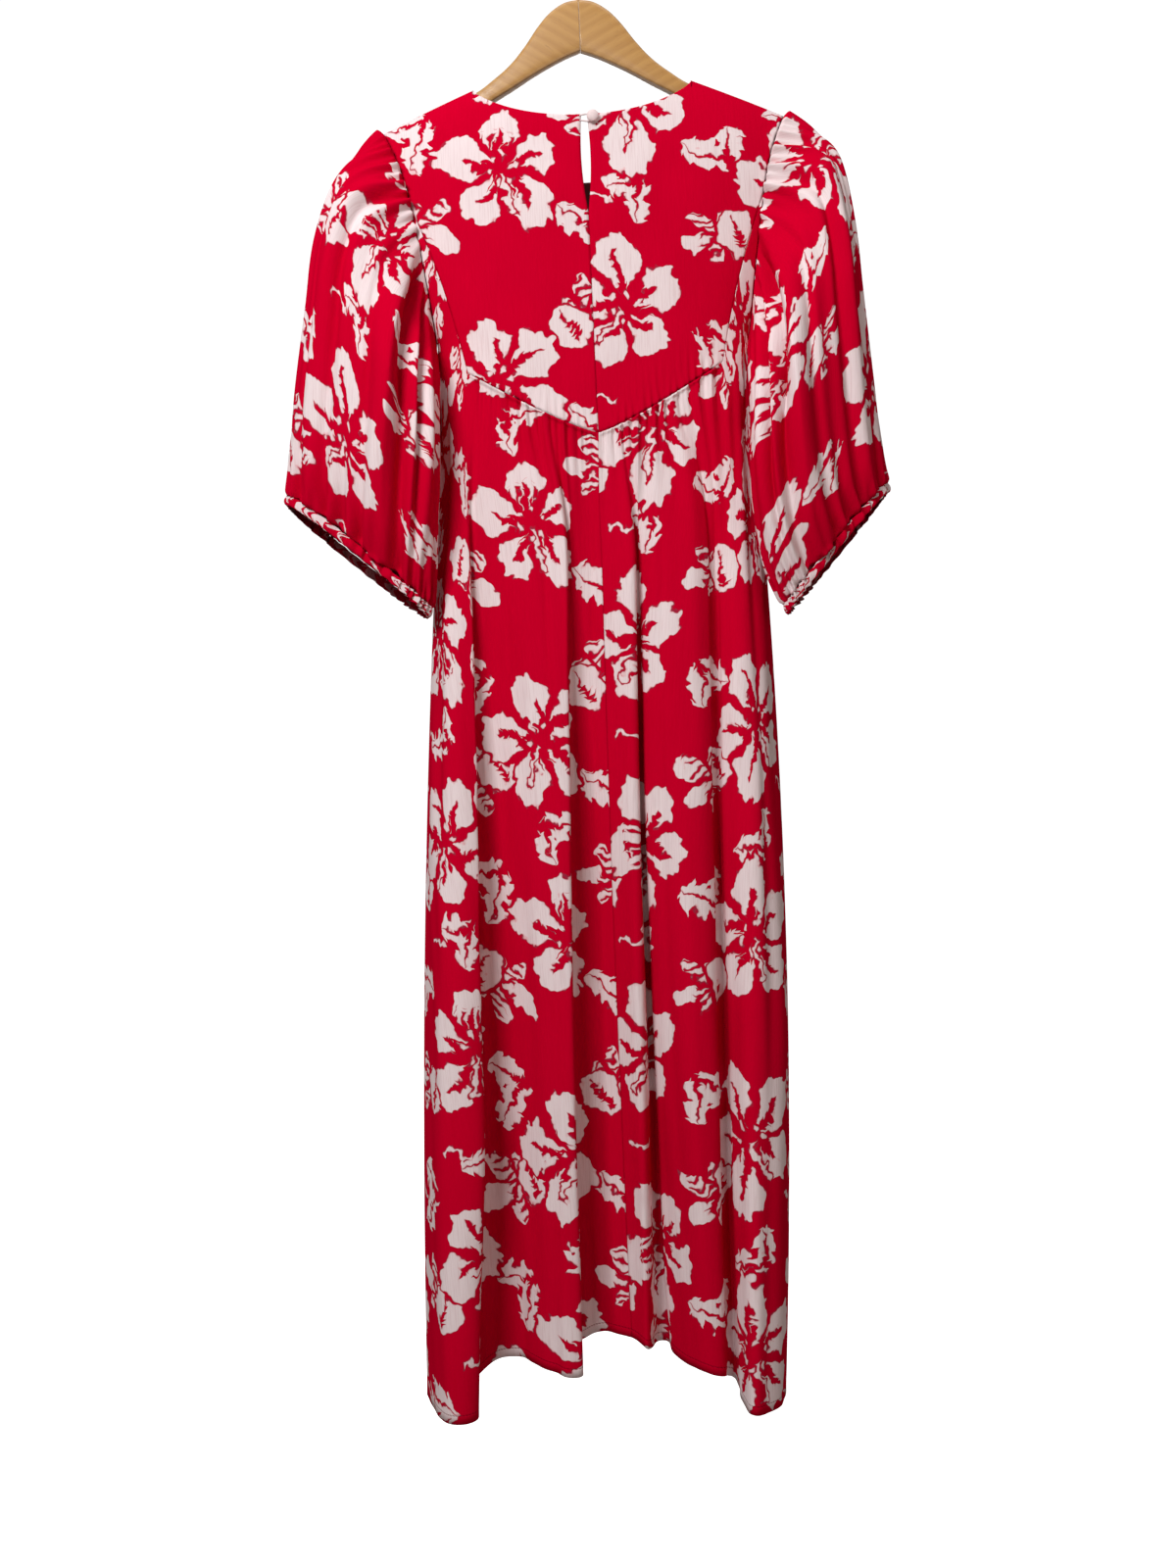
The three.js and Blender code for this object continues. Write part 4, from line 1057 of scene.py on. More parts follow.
@dataclass
class YokeForm:
    """The yokes' surface, in the leaning frame: sizes, edges, depth and patch."""

    neck_half: float = 104.0
    neck_z: float = -79.5
    tip_half: float = 192.0
    tip_z: float = -111.5
    join_half: float = 166.0
    join_z: float = -194.5
    corner_half: float = 119.0
    corner_z: float = -355.5
    centre_z: float = -419.5
    bottom_power: float = 1.25
    underarm_half: float = 148.5
    underarm_z: float = -322.0
    join_share: float = 0.32
    neck_share: float = 0.62
    neck_power: float = 0.6
    closing: float = 32.0
    sweep_fade: float = 160.0
    slit_length: float = 94.0
    slit_top: float = 5.4
    slit_middle: float = 8.4
    drops: dict[Face, float] = field(default_factory=lambda: {Face.BACK: 41.0, Face.FRONT: 80.0})
    level_z: Array = field(default_factory=lambda: np.array([-60.0, -112.0, -195.0, -322.0, -425.0]))
    level_depth: Array = field(default_factory=lambda: np.array([25.0, 28.0, 33.0, 37.0, 38.0]))
    level_width: Array = field(default_factory=lambda: np.array([236.0, 226.0, 190.0, 148.5, 147.0]))

    @property
    def slope(self) -> float:
        """Fall of the shoulder line for each millimetre outwards."""
        return (self.neck_z - self.tip_z) / (self.tip_half - self.neck_half)

    def top_z(self, face: Face) -> float:
        """Height of the neckline's middle."""
        return self.neck_z - self.drops[face]

    def depth(self, x: Array, z: Array, face: Face) -> Array:
        """Depth of the outer face at points of the leaning frame.

        It is the arms' sweep, which fades below the shoulder, plus half the depth at that height times
        the square roots of 1 - across cubed and of 1 - exp(-below / closing).

        Args:
            x, z: points of the leaning frame.
            face: back or front.

        Returns:
            Their y.
        """
        below = np.maximum(self.neck_z - self.slope * (np.abs(x) - self.neck_half) - z, 0.0)
        width = np.interp(-z, -self.level_z, self.level_width)
        half_depth = np.interp(-z, -self.level_z, self.level_depth)
        across = np.minimum(np.abs(x) / width, 1.0)
        bulge = np.sqrt(1.0 - across**3) * np.sqrt(1.0 - np.exp(-below / self.closing))
        sweep = ARM_SWEEP * (x / ARM_REACH) ** 2 * np.exp(-below / self.sweep_fade)
        return sweep + face.value * half_depth * bulge

    def bottom(self, x: Array) -> Array:
        """Height of the bottom edge: it rises from the middle by a power of the way to the corner."""
        rise = self.corner_z - self.centre_z
        return self.centre_z + rise * (np.abs(x) / self.corner_half) ** self.bottom_power

    def outer_edge(self, share: Array) -> tuple[Array, Array]:
        """The edge from the shoulder tip past the armhole to the corner, slightly hollow in both parts.

        Args:
            share: 0 at the tip to 1 at the corner.

        Returns:
            x and z in the leaning frame.
        """
        upper = share / self.join_share
        lower = (share - self.join_share) / (1.0 - self.join_share)
        above = share < self.join_share
        upper_x = lerp(self.tip_half, self.join_half, upper) - 3.0 * np.sin(math.pi * upper)
        lower_x = lerp(self.join_half, self.corner_half, lower) - 4.0 * np.sin(math.pi * lower)
        x = np.where(above, upper_x, lower_x)
        z = np.where(above, lerp(self.tip_z, self.join_z, upper), lerp(self.join_z, self.corner_z, lower))
        return x, z

    def top_edge(self, share: Array, face: Face) -> tuple[Array, Array]:
        """The neckline and then the straight shoulder, from the middle to the tip.

        Args:
            share: 0 at the middle to 1 at the tip.
            face: back or front.

        Returns:
            x and z in the leaning frame.
        """
        neck = np.minimum(share / self.neck_share, 1.0)
        shoulder = np.maximum((share - self.neck_share) / (1.0 - self.neck_share), 0.0)
        neck_x = self.neck_half * np.sin(math.pi / 2.0 * neck)
        drop = self.drops[face] * np.maximum(1.0 - (neck_x / self.neck_half) ** 2, 0.0) ** self.neck_power
        on_neck = share < self.neck_share
        x = np.where(on_neck, neck_x, lerp(self.neck_half, self.tip_half, shoulder))
        z = np.where(on_neck, self.neck_z - drop, lerp(self.neck_z, self.tip_z, shoulder))
        return x, z

    def patch(self, across: Array, down: Array, face: Face) -> tuple[Array, Array]:
        """A point between the four edges: the two ruled mixes of opposite edges, less that of the corners.

        Args:
            across: 0 at the middle to 1 at the outer edge.
            down: 0 at the top to 1 at the bottom.
            face: back or front.

        Returns:
            x and z in the leaning frame.
        """
        top = self.top_edge(across, face)
        bottom = (self.corner_half * across, self.bottom(self.corner_half * across))
        centre = (0.0 * down, lerp(self.top_z(face), self.centre_z, down))
        outer = self.outer_edge(down)
        corners = (
            (0.0, self.tip_half, 0.0, self.corner_half),
            (self.top_z(face), self.tip_z, self.centre_z, self.corner_z),
        )
        found = []
        for k in (0, 1):
            a, b, c, d = corners[k]
            ruled = (1 - down) * top[k] + down * bottom[k] + (1 - across) * centre[k] + across * outer[k]
            shared = (1 - down) * ((1 - across) * a + across * b) + down * ((1 - across) * c + across * d)
            found.append(ruled - shared)
        return found[0], found[1]

    def slit_half(self, below: Array) -> Array:
        """Half the slit's opening: a wedge plus a bow.

        Args:
            below: distance below the neckline.

        Returns:
            Half the opening.
        """
        share = np.clip(below / self.slit_length, 0.0, 1.0)
        bow = (self.slit_middle - self.slit_top / 2.0) * np.sin(math.pi * share)
        return (self.slit_top * (1.0 - share) + bow) / 2.0


class Gather(NamedTuple):
    """One small pleat under the yoke: where on its bottom edge, how deep, how far down and how wide."""

    x: float
    depth: float
    length: float
    width: float


BACK_GATHERS = (
    Gather(-111, 2.0, 50, 4.2),
    Gather(-99, 1.4, 70, 5.4),
    Gather(-87, 2.4, 40, 3.6),
    Gather(-75.5, 3.4, 95, 3.4),
    Gather(-66, 4.4, 130, 3.6),
    Gather(-58.5, 3.2, 45, 2.6),
    Gather(-48, 5.2, 190, 4.8),
    Gather(-39.5, 3.4, 50, 2.6),
    Gather(-32, 5.0, 170, 3.2),
    Gather(-24, 3.8, 80, 3.0),
    Gather(-16.5, 2.0, 40, 3.0),
    Gather(-7, 1.2, 45, 3.4),
    Gather(10, 2.6, 60, 3.4),
    Gather(19.5, 3.6, 110, 3.0),
    Gather(27.5, 4.8, 60, 2.8),
    Gather(36, 5.2, 200, 3.6),
    Gather(43.5, 3.4, 50, 2.6),
    Gather(52, 5.0, 150, 3.6),
    Gather(60, 3.8, 70, 2.8),
    Gather(70.5, 3.2, 130, 4.2),
    Gather(82, 2.0, 50, 4.0),
    Gather(93, 3.0, 150, 4.4),
    Gather(106, 3.2, 180, 4.6),
)


class FoldLine(NamedTuple):
    """A fold line of a skirt: x and y at the yoke's level, the middle and the hem, and the hem's z."""

    name: str
    x_yoke: float
    x_mid: float
    x_hem: float
    y_yoke: float
    y_mid: float
    y_hem: float
    hem_z: float


BACK_LINES = (
    FoldLine("left side seam", -130, -143, -144, 2, 2, 2, -1385),
    FoldLine("left column", -121, -125, -120, -14, -42, -60, -1391),
    FoldLine("left column edge", -110, -93, -91, -25, -46, -58, -1389),
    FoldLine("behind left column", -97, -97, -97, -28, -24, -14, -1366),
    FoldLine("left hollow", -81, -81, -74, -31, -18, -3, -1349),
    FoldLine("left slope", -55, -51, -38, -34, -34, -24, -1344),
    FoldLine("left panel", -27, -20, -11, -37, -50, -50, -1346),
    FoldLine("left panel edge", -12, -8, 4, -39, -46, -42, -1345),
    FoldLine("behind left panel", -6, -9, 1, -36, -24, -10, -1333),
    FoldLine("middle hollow", 6, 8, 21, -36, -20, -1, -1324),
    FoldLine("centre seam", 19, 28, 53, -38, -29, -17, -1323),
    FoldLine("middle ridge", 46, 52, 66, -40, -40, -32, -1328),
    FoldLine("narrow hollow", 56, 61, 86, -33, -18, -5, -1332),
    FoldLine("right panel edge", 65, 69, 99, -37, -36, -26, -1340),
    FoldLine("right panel", 92, 97, 121, -37, -52, -50, -1343),
    FoldLine("right panel side", 119, 124, 140, -33, -42, -38, -1350),
    FoldLine("right hollow", 125, 131, 147, -29, -24, -22, -1360),
    FoldLine("right column edge", 131, 137, 151, -28, -36, -42, -1370),
    FoldLine("right column", 146, 158, 164, -24, -48, -60, -1379),
    FoldLine("right column side", 160, 180, 188, -14, -32, -38, -1382),
    FoldLine("right side seam", 168, 192, 198, 2, 2, 2, -1380),
)


class Crease(NamedTuple):
    """A narrow trough or ridge down a skirt: place in fold lines, depth outwards, width and start."""

    place: float
    depth: float
    width: float
    start: float


BACK_CREASES = (
    Crease(0.75, -1.8, 0.16, 120),
    Crease(1.5, 1.6, 0.24, 200),
    Crease(2.95, -4.5, 0.20, 60),
    Crease(3.6, 1.6, 0.20, 300),
    Crease(4.5, -2.2, 0.14, 150),
    Crease(5.35, 2.4, 0.22, 40),
    Crease(5.75, -1.8, 0.12, 90),
    Crease(6.75, 2.6, 0.20, 30),
    Crease(7.55, -5.5, 0.26, 30),
    Crease(8.6, 1.8, 0.18, 260),
    Crease(9.3, -1.8, 0.14, 110),
    Crease(11.1, 3.2, 0.28, 40),
    Crease(11.75, -5.0, 0.24, 50),
    Crease(12.6, 2.0, 0.18, 240),
    Crease(13.4, -1.6, 0.12, 130),
    Crease(14.55, 3.2, 0.26, 20),
    Crease(15.35, -5.5, 0.28, 30),
    Crease(16.5, -1.8, 0.16, 240),
    Crease(17.6, 2.2, 0.24, 90),
    Crease(18.5, -2.2, 0.18, 180),
)


@dataclass
class SkirtForm:
    """The skirt's surface between armhole, yoke and hem: fold lines that hang from the yoke's edge."""

    yoke: YokeForm
    yoke_level: float = -470.0
    mid_level: float = -800.0
    hem_level: float = -1370.0
    corner_lines: float = 2.4
    front_depth: float = 0.9
    top_fade: float = 75.0
    gather_rise: float = 3.0
    gather_strength: float = 1.75
    fine_gathers: int = 27
    row_drops: Array = field(default_factory=lambda: np.array([0.0, 7.0, 16.0, 28.0, 44.0, 66.0]))
    armhole_shares: Array = field(default_factory=lambda: np.array([1.0, 0.86, 0.66, 0.42, 0.18, 0.0]))
    lower_rows: float = 9.0

    def __post_init__(self) -> None:
        """Lays out the fold lines of both faces as one table each."""
        back = np.array([line[1:] for line in BACK_LINES], float)
        self.last_line = len(back) - 1
        self.centre_line = self.last_line / 2
        self.last_drop = len(self.row_drops) - 1
        self.lines = {Face.BACK: back, Face.FRONT: self.front_lines(back)}

    def front_lines(self, back: Array) -> Array:
        """The back's lines turned end for end, and stretched between the same side seams on the front.

        Args:
            back: the back's table of lines.

        Returns:
            The front's table.
        """
        front = back[::-1].copy()
        share = np.linspace(0.0, 1.0, len(back))
        for column, turn in ((0, -1.0), (1, -1.0), (2, -1.0), (6, 1.0)):
            turned_over = turn * front[:, column]
            start, end = back[0, column] - turned_over[0], back[-1, column] - turned_over[-1]
            front[:, column] = turned_over + lerp(start, end, share)
        front[:, 3:6] = SIDE_SEAM_Y + (SIDE_SEAM_Y - front[:, 3:6]) * self.front_depth
        return front

    def section(self, place: Array, z: Array, face: Face) -> Array:
        """Free-hanging cloth: a parabola down each fold line.

        Args:
            place: places in fold lines.
            z: heights.
            face: back or front.

        Returns:
            The points.
        """
        down = np.clip((self.yoke_level - z) / (self.yoke_level - self.hem_level), 0.0, 1.0)
        mid = (self.yoke_level - self.mid_level) / (self.yoke_level - self.hem_level)
        weights = (
            (down - mid) * (down - 1.0) / mid,
            down * (down - 1.0) / (mid * (mid - 1.0)),
            down * (down - mid) / (1.0 - mid),
        )
        table = along_table(self.lines[face][:, :6], place)
        x = sum(weight * table[..., k] for k, weight in enumerate(weights))
        y = sum(weight * table[..., 3 + k] for k, weight in enumerate(weights))
        return np.stack([x, y, z + 0.0 * x], -1)

    def hem_z(self, place: Array, face: Face) -> Array:
        """Height of the hem at a place."""
        return along_table(self.lines[face][:, 6], place)

    def lower_armhole(self, share: Array, side: Array, face: Face) -> Array:
        """The armhole below the yoke.

        Args:
            share: 0 at the underarm to 1 at the end of the yoke's edge.
            side: -1 left, 1 right.
            face: back or front.

        Returns:
            The points.
        """
        form = self.yoke
        x = lerp(form.underarm_half, form.join_half + SEAM_GAP, share**1.3)
        z = lerp(form.underarm_z, form.join_z, share)
        settled = form.depth(x, z, face) + SIDE_SEAM_Y * (1.0 - share) ** 2
        y = lerp(settled, SIDE_SEAM_Y, np.exp(-share * 24.0))
        return lean(side * x, y, z)

    def top(self, place: Array, face: Face) -> Array:
        """The top edge: the slanted seam beside the yoke, then the yoke's bottom edge.

        Args:
            place: places in fold lines.
            face: back or front.

        Returns:
            The points.
        """
        side = np.where(place < self.centre_line, -1.0, 1.0)
        from_side = np.minimum(place, self.last_line - place)
        slanted_x, slanted_z = self.yoke.outer_edge(
            lerp(self.yoke.join_share, 1.0, np.minimum(from_side / self.corner_lines, 1.0))
        )
        share = 1.0 - (from_side - self.corner_lines) / (self.centre_line - self.corner_lines)
        under_x = self.yoke.corner_half * np.clip(share, 0.0, 1.0)
        on_slant = from_side <= self.corner_lines
        x = np.where(on_slant, slanted_x + SEWN_GAP, under_x)
        z = np.where(on_slant, slanted_z, self.yoke.bottom(under_x) - SEWN_GAP)
        return lean(side * x, self.yoke.depth(x, z, face), z)

    def row_height(self, row: Array, top_z: Array, hem_z: Array) -> Array:
        """Height of a row that starts at one height and ends at another.

        Args:
            row: row numbers.
            top_z, hem_z: heights of the first and the last row.

        Returns:
            The heights.
        """
        drop = np.interp(row, np.arange(self.last_drop + 1), self.row_drops)
        lower = np.maximum(row - self.last_drop, 0.0) / self.lower_rows
        return lerp(top_z - drop, hem_z, lower)

    def hanging(self, place: Array, row: Array, face: Face) -> Array:
        """A point under the yoke's bottom edge: it leaves the seam and settles into its fold line.

        Args:
            place, row: points of the skirt, in fold lines and rows.
            face: back or front.

        Returns:
            The points.
        """
        top = self.top(place, face)
        z = self.row_height(row, top[..., 2], self.hem_z(place, face))
        pull = bell((top[..., 2] - z) / self.top_fade)[..., None]
        at = lerp(self.section(place, z, face), top, pull)
        at[..., 2] = z
        return at

    def side_point(self, side: Array, row: Array, face: Face) -> Array:
        """A point of the side edge: the armhole down to the underarm, then the side seam.

        Args:
            side: -1 left, 1 right.
            row: row numbers.
            face: back or front.

        Returns:
            The points.
        """
        place = np.where(side < 0, 0.0, float(self.last_line))
        share = np.interp(row, np.arange(self.last_drop + 1), self.armhole_shares)
        on_armhole = self.lower_armhole(share, side, face)
        underarm = self.lower_armhole(0.0 * row, side, face)
        lower = np.maximum(row - self.last_drop, 0.0) / self.lower_rows
        z = lerp(underarm[..., 2], self.hem_z(place, face), lower)
        on_seam = self.section(place, z, face)
        settled = self.section(place, underarm[..., 2], face)
        on_seam[..., 0] += (underarm[..., 0] - settled[..., 0]) * bell((underarm[..., 2] - z) / self.top_fade)
        return np.where((row <= self.last_drop)[..., None], on_armhole, on_seam)

    def panel(self, place: Array, row: Array, face: Face) -> Array:
        """A point of the narrow panel between armhole and slanted seam.

        Args:
            place, row: points of the skirt, in fold lines and rows.
            face: back or front.

        Returns:
            The points.
        """
        on_left = place < self.centre_line
        side = np.where(on_left, -1.0, 1.0)
        share = np.where(on_left, place, self.last_line - place) / self.corner_lines
        corner = np.where(on_left, self.corner_lines, self.last_line - self.corner_lines)
        first = 0.0 * row
        mix = share[..., None]
        top = self.top(place, face)
        at = lerp(self.side_point(side, row, face), self.hanging(corner, row, face), mix)
        straight = lerp(self.side_point(side, first, face), self.hanging(corner, first, face), mix)
        pull = bell((straight[..., 2] - at[..., 2]) / self.top_fade)
        at[..., 0] += (top[..., 0] - straight[..., 0]) * pull
        at[..., 2] += (top[..., 2] - straight[..., 2]) * pull
        section = self.section(place, at[..., 2], face)
        drop = straight[..., 2] - at[..., 2]
        settled = lerp((1.0 - pull) * smooth(0.1, 0.8, share), 1.0, smooth(130.0, 320.0, drop))
        x, z = unlean(at)
        at[..., 0] = lerp(at[..., 0], section[..., 0], settled)
        on_yoke = self.yoke.depth(np.abs(x), z, face)
        at[..., 1] = np.where(row == 0.0, top[..., 1], lerp(on_yoke, section[..., 1], settled))
        return at

    def point(self, place: Array, row: Array, face: Face) -> Array:
        """A point of the skirt: of its panel beside the yoke, or hanging from the yoke.

        Args:
            place, row: points of the skirt, in fold lines and rows.
            face: back or front.

        Returns:
            The points.
        """
        from_side = np.minimum(place, self.last_line - place)
        side = np.where(place < self.centre_line, -1.0, 1.0)
        beside_yoke = (from_side < self.corner_lines)[..., None]
        found = np.where(beside_yoke, self.panel(place, row, face), self.hanging(place, row, face))
        return np.where((from_side < 1e-9)[..., None], self.side_point(side, row, face), found)

    def drop(self, row: Array) -> Array:
        """How far below the yoke's edge a row lies."""
        return -self.row_height(row, 0.0, self.hem_level - self.yoke_level)

    def gathers(self, place: Array, row: Array, face: Face) -> Array:
        """Height of the small pleats under the yoke.

        Each is depth * exp(-(across / width) squared), rises just under the seam and fades with
        exp(-drop / (0.7 * length)). A finer, shallower wave lies between them, and all stand in a shallow
        hollow under the seam.

        Args:
            place, row: points of the skirt.
            face: back or front. The front's pleats are the back's, turned end for end.

        Returns:
            How far each point stands out.
        """
        mirror = 1.0 if face is Face.BACK else -1.0
        per_line = self.yoke.corner_half / (self.centre_line - self.corner_lines)
        x = (place - self.centre_line) * per_line * mirror
        drop = self.drop(row)
        rise = smooth(-0.7 * self.gather_rise, self.gather_rise, drop)
        fine = np.cos(TURN * self.fine_gathers * x / self.yoke.corner_half + 2.0 * np.sin(x / 9.0))
        hollow = 3.0 * np.exp(-drop / 70.0) * smooth(0.0, 5.0, drop)
        total = 0.7 * fine * np.exp(-drop / 20.0) - hollow
        for pleat in BACK_GATHERS:
            across = (x - pleat.x) / (pleat.width * (1.0 + drop / 150.0))
            depth = self.gather_strength * pleat.depth
            total = total + depth * bell(across) * np.exp(-drop / (0.7 * pleat.length))
        under = smooth(self.yoke.corner_half + 2.0, self.yoke.corner_half - 8.0, np.abs(x))
        return total * rise * under * smooth(0.0, 5.0, np.abs(x))

    def creases(self, place: Array, row: Array, face: Face) -> Array:
        """Height of the narrow troughs and ridges between the folds.

        Each is depth * exp(-(across / width) squared), grows from its first drop down and sways a little.

        Args:
            place, row: points of the skirt.
            face: back or front. The front's are the back's, turned end for end.

        Returns:
            How far each point stands out.
        """
        at = place if face is Face.BACK else self.last_line - place
        drop = self.drop(row)
        total = np.zeros_like(place)
        for k, crease in enumerate(BACK_CREASES):
            sway = 0.10 * np.sin(drop / 150.0 + 1.9 * k)
            across = (at - crease.place - sway) / (crease.width * (1.0 + drop / 2400.0))
            strength = 0.8 + 0.3 * np.sin(drop / 210.0 + 2.3 * k)
            grown = smooth(0.4 * crease.start, crease.start + 90.0, drop)
            total = total + crease.depth * strength * bell(across) * grown
        return total


@dataclass
class Skirts:
    """Back skirt halves and the front skirt, sewn at the side seams and the centre-back seam."""

    form: SkirtForm
    print_cloth: list[bpy.types.Material]
    wall: float = 0.7
    pucker: float = 0.35
    upper_steps: int = 46
    lower_steps: int = 118
    back_columns: int = 200
    front_columns: int = 240
    grain_origins: tuple[float, float, float] = (0.0, 31.0, 63.0)
    back_flat: tuple[float, float] = (0.33, 1.17)
    front_flat: tuple[float, float] = (0.66, 1.17)
    cut_share: float = 0.70

    def rows(self) -> Array:
        """Row numbers of the grid: close under the yoke and wider towards the hem.

        Returns:
            The row numbers.
        """
        yoke_rows = float(self.form.last_drop)
        upper = np.linspace(0.0, yoke_rows, self.upper_steps, endpoint=False)
        lower = np.linspace(yoke_rows, yoke_rows + self.form.lower_rows, self.lower_steps)
        return np.concatenate([upper, lower])

    def cloth(self, start: float, end: float, face: Face, columns: int, origin: float) -> Cloth:
        """The cloth between two places.

        Folds come from the form. Its pleats and creases, soft ripples of about a millimetre, and fine puckers
        beside the centre-back seam are added along the outward direction.

        Args:
            start, end: places in fold lines.
            face: back or front.
            columns: points along a row.
            origin: flat coordinate of the straight-grain line.

        Returns:
            The cloth with its flat coordinates.
        """
        form = self.form
        place, row = np.meshgrid(np.linspace(start, end, columns), self.rows())
        points = form.point(place, row, face)
        outside = np.array([0.0, float(face.value), 0.0])
        normals, _ = grid_normals(points, outside)
        along = run_lengths(points, 1)
        centre = form.centre_line
        at_centre = np.abs(place[0] - centre).argmin()
        across = along - along[:, at_centre : at_centre + 1]
        z = points[..., 2]
        free = smooth(20.0, 180.0, form.drop(row))
        near_side = smooth(0.0, 0.8, np.minimum(place, form.last_line - place))
        long_ripple = Ripple(11 + face.value, 74.0, 900.0)(across, z) * 1.5 * free * near_side
        small_ripple = Ripple(21 + face.value, 30.0, 300.0)(across, z) * 0.5
        small_ripple = small_ripple * smooth(0.0, 60.0, form.drop(row))
        raised = form.gathers(place, row, face) + form.creases(place, row, face) + long_ripple
        raised = raised + small_ripple * near_side
        if face is Face.BACK:
            tight = bell(across / 16.0) * smooth(10.0, 120.0, form.drop(row))
            raised = raised + self.pucker * Ripple(31, 60.0, 11.0)(across, z) * tight
        points = points + normals * raised[..., None]
        points = self.opened(points, start, end, face)
        flat = np.stack([across + origin, z], -1)
        return Cloth(points, outside, flat, (Edge.TOP, Edge.START, Edge.END), (Edge.BOTTOM,))

    def opened(self, points: Array, start: float, end: float, face: Face) -> Array:
        """The points, moved half a seam's gap away from the neighbour along the centre and side seams.

        Args:
            points: the grid.
            start, end: places of its first and last column.
            face: back or front.

        Returns:
            The points.
        """
        form = self.form
        half = SEWN_GAP / 2.0
        if start == form.centre_line:
            points[:, 0, 0] += half
        if end == form.centre_line:
            points[:, -1, 0] -= half
        if start == 0.0:
            points[:, 0, 1] += face.value * half
        if end == form.last_line:
            points[:, -1, 1] += face.value * half
        return points

    def declare(self, cloth: Cloth, name: str, flat: tuple[float, float]) -> None:
        """Makes and dresses one piece, and works out the area of its flat cut.

        Args:
            cloth: its grid.
            name: its CAD node.
            flat: width and length of the flat cut in metres.
        """
        made = finish_cloth(cloth, name, self.print_cloth, self.wall)
        area = flat[0] * flat[1] * self.cut_share

    def build(self) -> None:
        """Builds the three skirt pieces."""
        middle, last = self.form.centre_line, float(self.form.last_line)
        left_origin, right_origin, front_origin = self.grain_origins
        left = self.cloth(0.0, middle, Face.BACK, self.back_columns, left_origin)
        self.declare(left, "back_skirt_left", self.back_flat)
        right = self.cloth(middle, last, Face.BACK, self.back_columns, right_origin)
        self.declare(right, "back_skirt_right", self.back_flat)
        front = self.cloth(0.0, last, Face.FRONT, self.front_columns, front_origin)
        self.declare(front, "front_skirt", self.front_flat)


def finish_cloth(
    cloth: Cloth, name: str, finishes: Sequence[bpy.types.Material], wall: float
) -> bpy.types.Object:
    """Makes a cloth piece that stands for the CAD node of the same name.

    Args:
        cloth: the grid of its outer face.
        name: the CAD node's name.
        finishes: material of its right side and of its reverse.
        wall: thickness.

    Returns:
        The piece.
    """
    made = cloth.make(name + "_cloth")
    dress(made, finishes, name)
    thicken(made, wall)
    width, length = cloth.flat_size()
    log.info("%s: %.4f m2, flat %.3f by %.3f m", made.name, cloth.area(), width, length)
    return made


@dataclass
class Yokes:
    """The two back yoke halves with the slit between them, and the front yoke."""

    form: YokeForm
    print_cloth: list[bpy.types.Material]
    wall: float = 0.8
    across_steps: int = 84
    top_steps: int = 30
    down_steps: int = 72
    half_flat: Pair = (0.20, 0.34)
    half_share: float = 0.75
    front_flat: Pair = (0.39, 0.34)
    front_share: float = 0.70

    def cloth(self, places: Array, sides: Sequence[Side], face: Face, origin: Pair) -> Cloth:
        """The cloth of one yoke piece.

        Args:
            places: places across, from -1 at the left tip to 1 at the right one.
            sides: the sides that it covers. A lone half stops at the slit and the centre seam.
            face: back or front.
            origin: shift of its flat coordinates.

        Returns:
            The cloth.
        """
        form = self.form
        upper = np.linspace(0.0, 0.2, self.top_steps, endpoint=False)
        lower = np.linspace(0.2, 1.0, self.down_steps)
        place, down = np.meshgrid(places, np.concatenate([upper, lower]))
        size = np.abs(place)
        side = np.where(place < 0.0, -1.0, 1.0)
        if len(sides) == 1:
            side = np.full_like(place, float(sides[0].value))
        x, z = form.patch(size, down, face)
        if len(sides) == 1:
            near = np.maximum(1.0 - 3.0 * size, 0.0)
            x = x + near * np.maximum(form.slit_half(form.top_z(face) - z), SEWN_GAP / 2.0)
        points = lean(side * x, form.depth(x, z, face), z)
        points[0, :, 1] += face.value * SEAM_GAP / 2.0
        outside = np.array([0.0, float(face.value), 0.3])
        normals, _ = grid_normals(points, outside)
        above = np.maximum(z - form.bottom(x), 0.0)
        tight = smooth(form.corner_half + 4.0, form.corner_half - 20.0, x) * np.exp(-above / 13.0)
        wave = Ripple(41 + face.value, 9.0, 60.0)(side * x, z) * 1.7 * tight * smooth(4.0, 22.0, x)
        slack = Ripple(51 + face.value, 90.0, 130.0)(side * x, z) * 0.8 * smooth(0.0, 0.25, down)
        slack = slack * smooth(0.0, 0.2, 1.0 - down) * smooth(0.0, 0.2, 1.0 - size)
        points = points + normals * (wave + slack)[..., None]
        flat = np.stack([side * x + origin[0], z + origin[1]], -1)
        seams = (Edge.BOTTOM, Edge.START, Edge.END)
        return Cloth(points, outside, flat, seams, seam_reach=1.5)

    def build(self) -> None:
        """Builds the three yoke pieces."""
        half = np.linspace(0.0, 1.0, self.across_steps)
        left = self.cloth(-half[::-1], [Side.LEFT], Face.BACK, (0.0, -18.0))
        right = self.cloth(half, [Side.RIGHT], Face.BACK, (44.0, 10.0))
        both = np.concatenate([-half[:0:-1], half])
        front = self.cloth(both, [Side.LEFT, Side.RIGHT], Face.FRONT, (70.0, 30.0))
        for cloth, name, flat, share in (
            (left, "back_yoke_left", self.half_flat, self.half_share),
            (right, "back_yoke_right", self.half_flat, self.half_share),
            (front, "front_yoke", self.front_flat, self.front_share),
        ):
            made = finish_cloth(cloth, name, self.print_cloth, self.wall)
            flat[0] * flat[1] * share


class Ring(NamedTuple):
    """One ring of a sleeve: its outer and inner points and its half-depth."""

    name: str
    out_x: float
    out_y: float
    out_z: float
    in_x: float
    in_y: float
    in_z: float
    half_depth: float


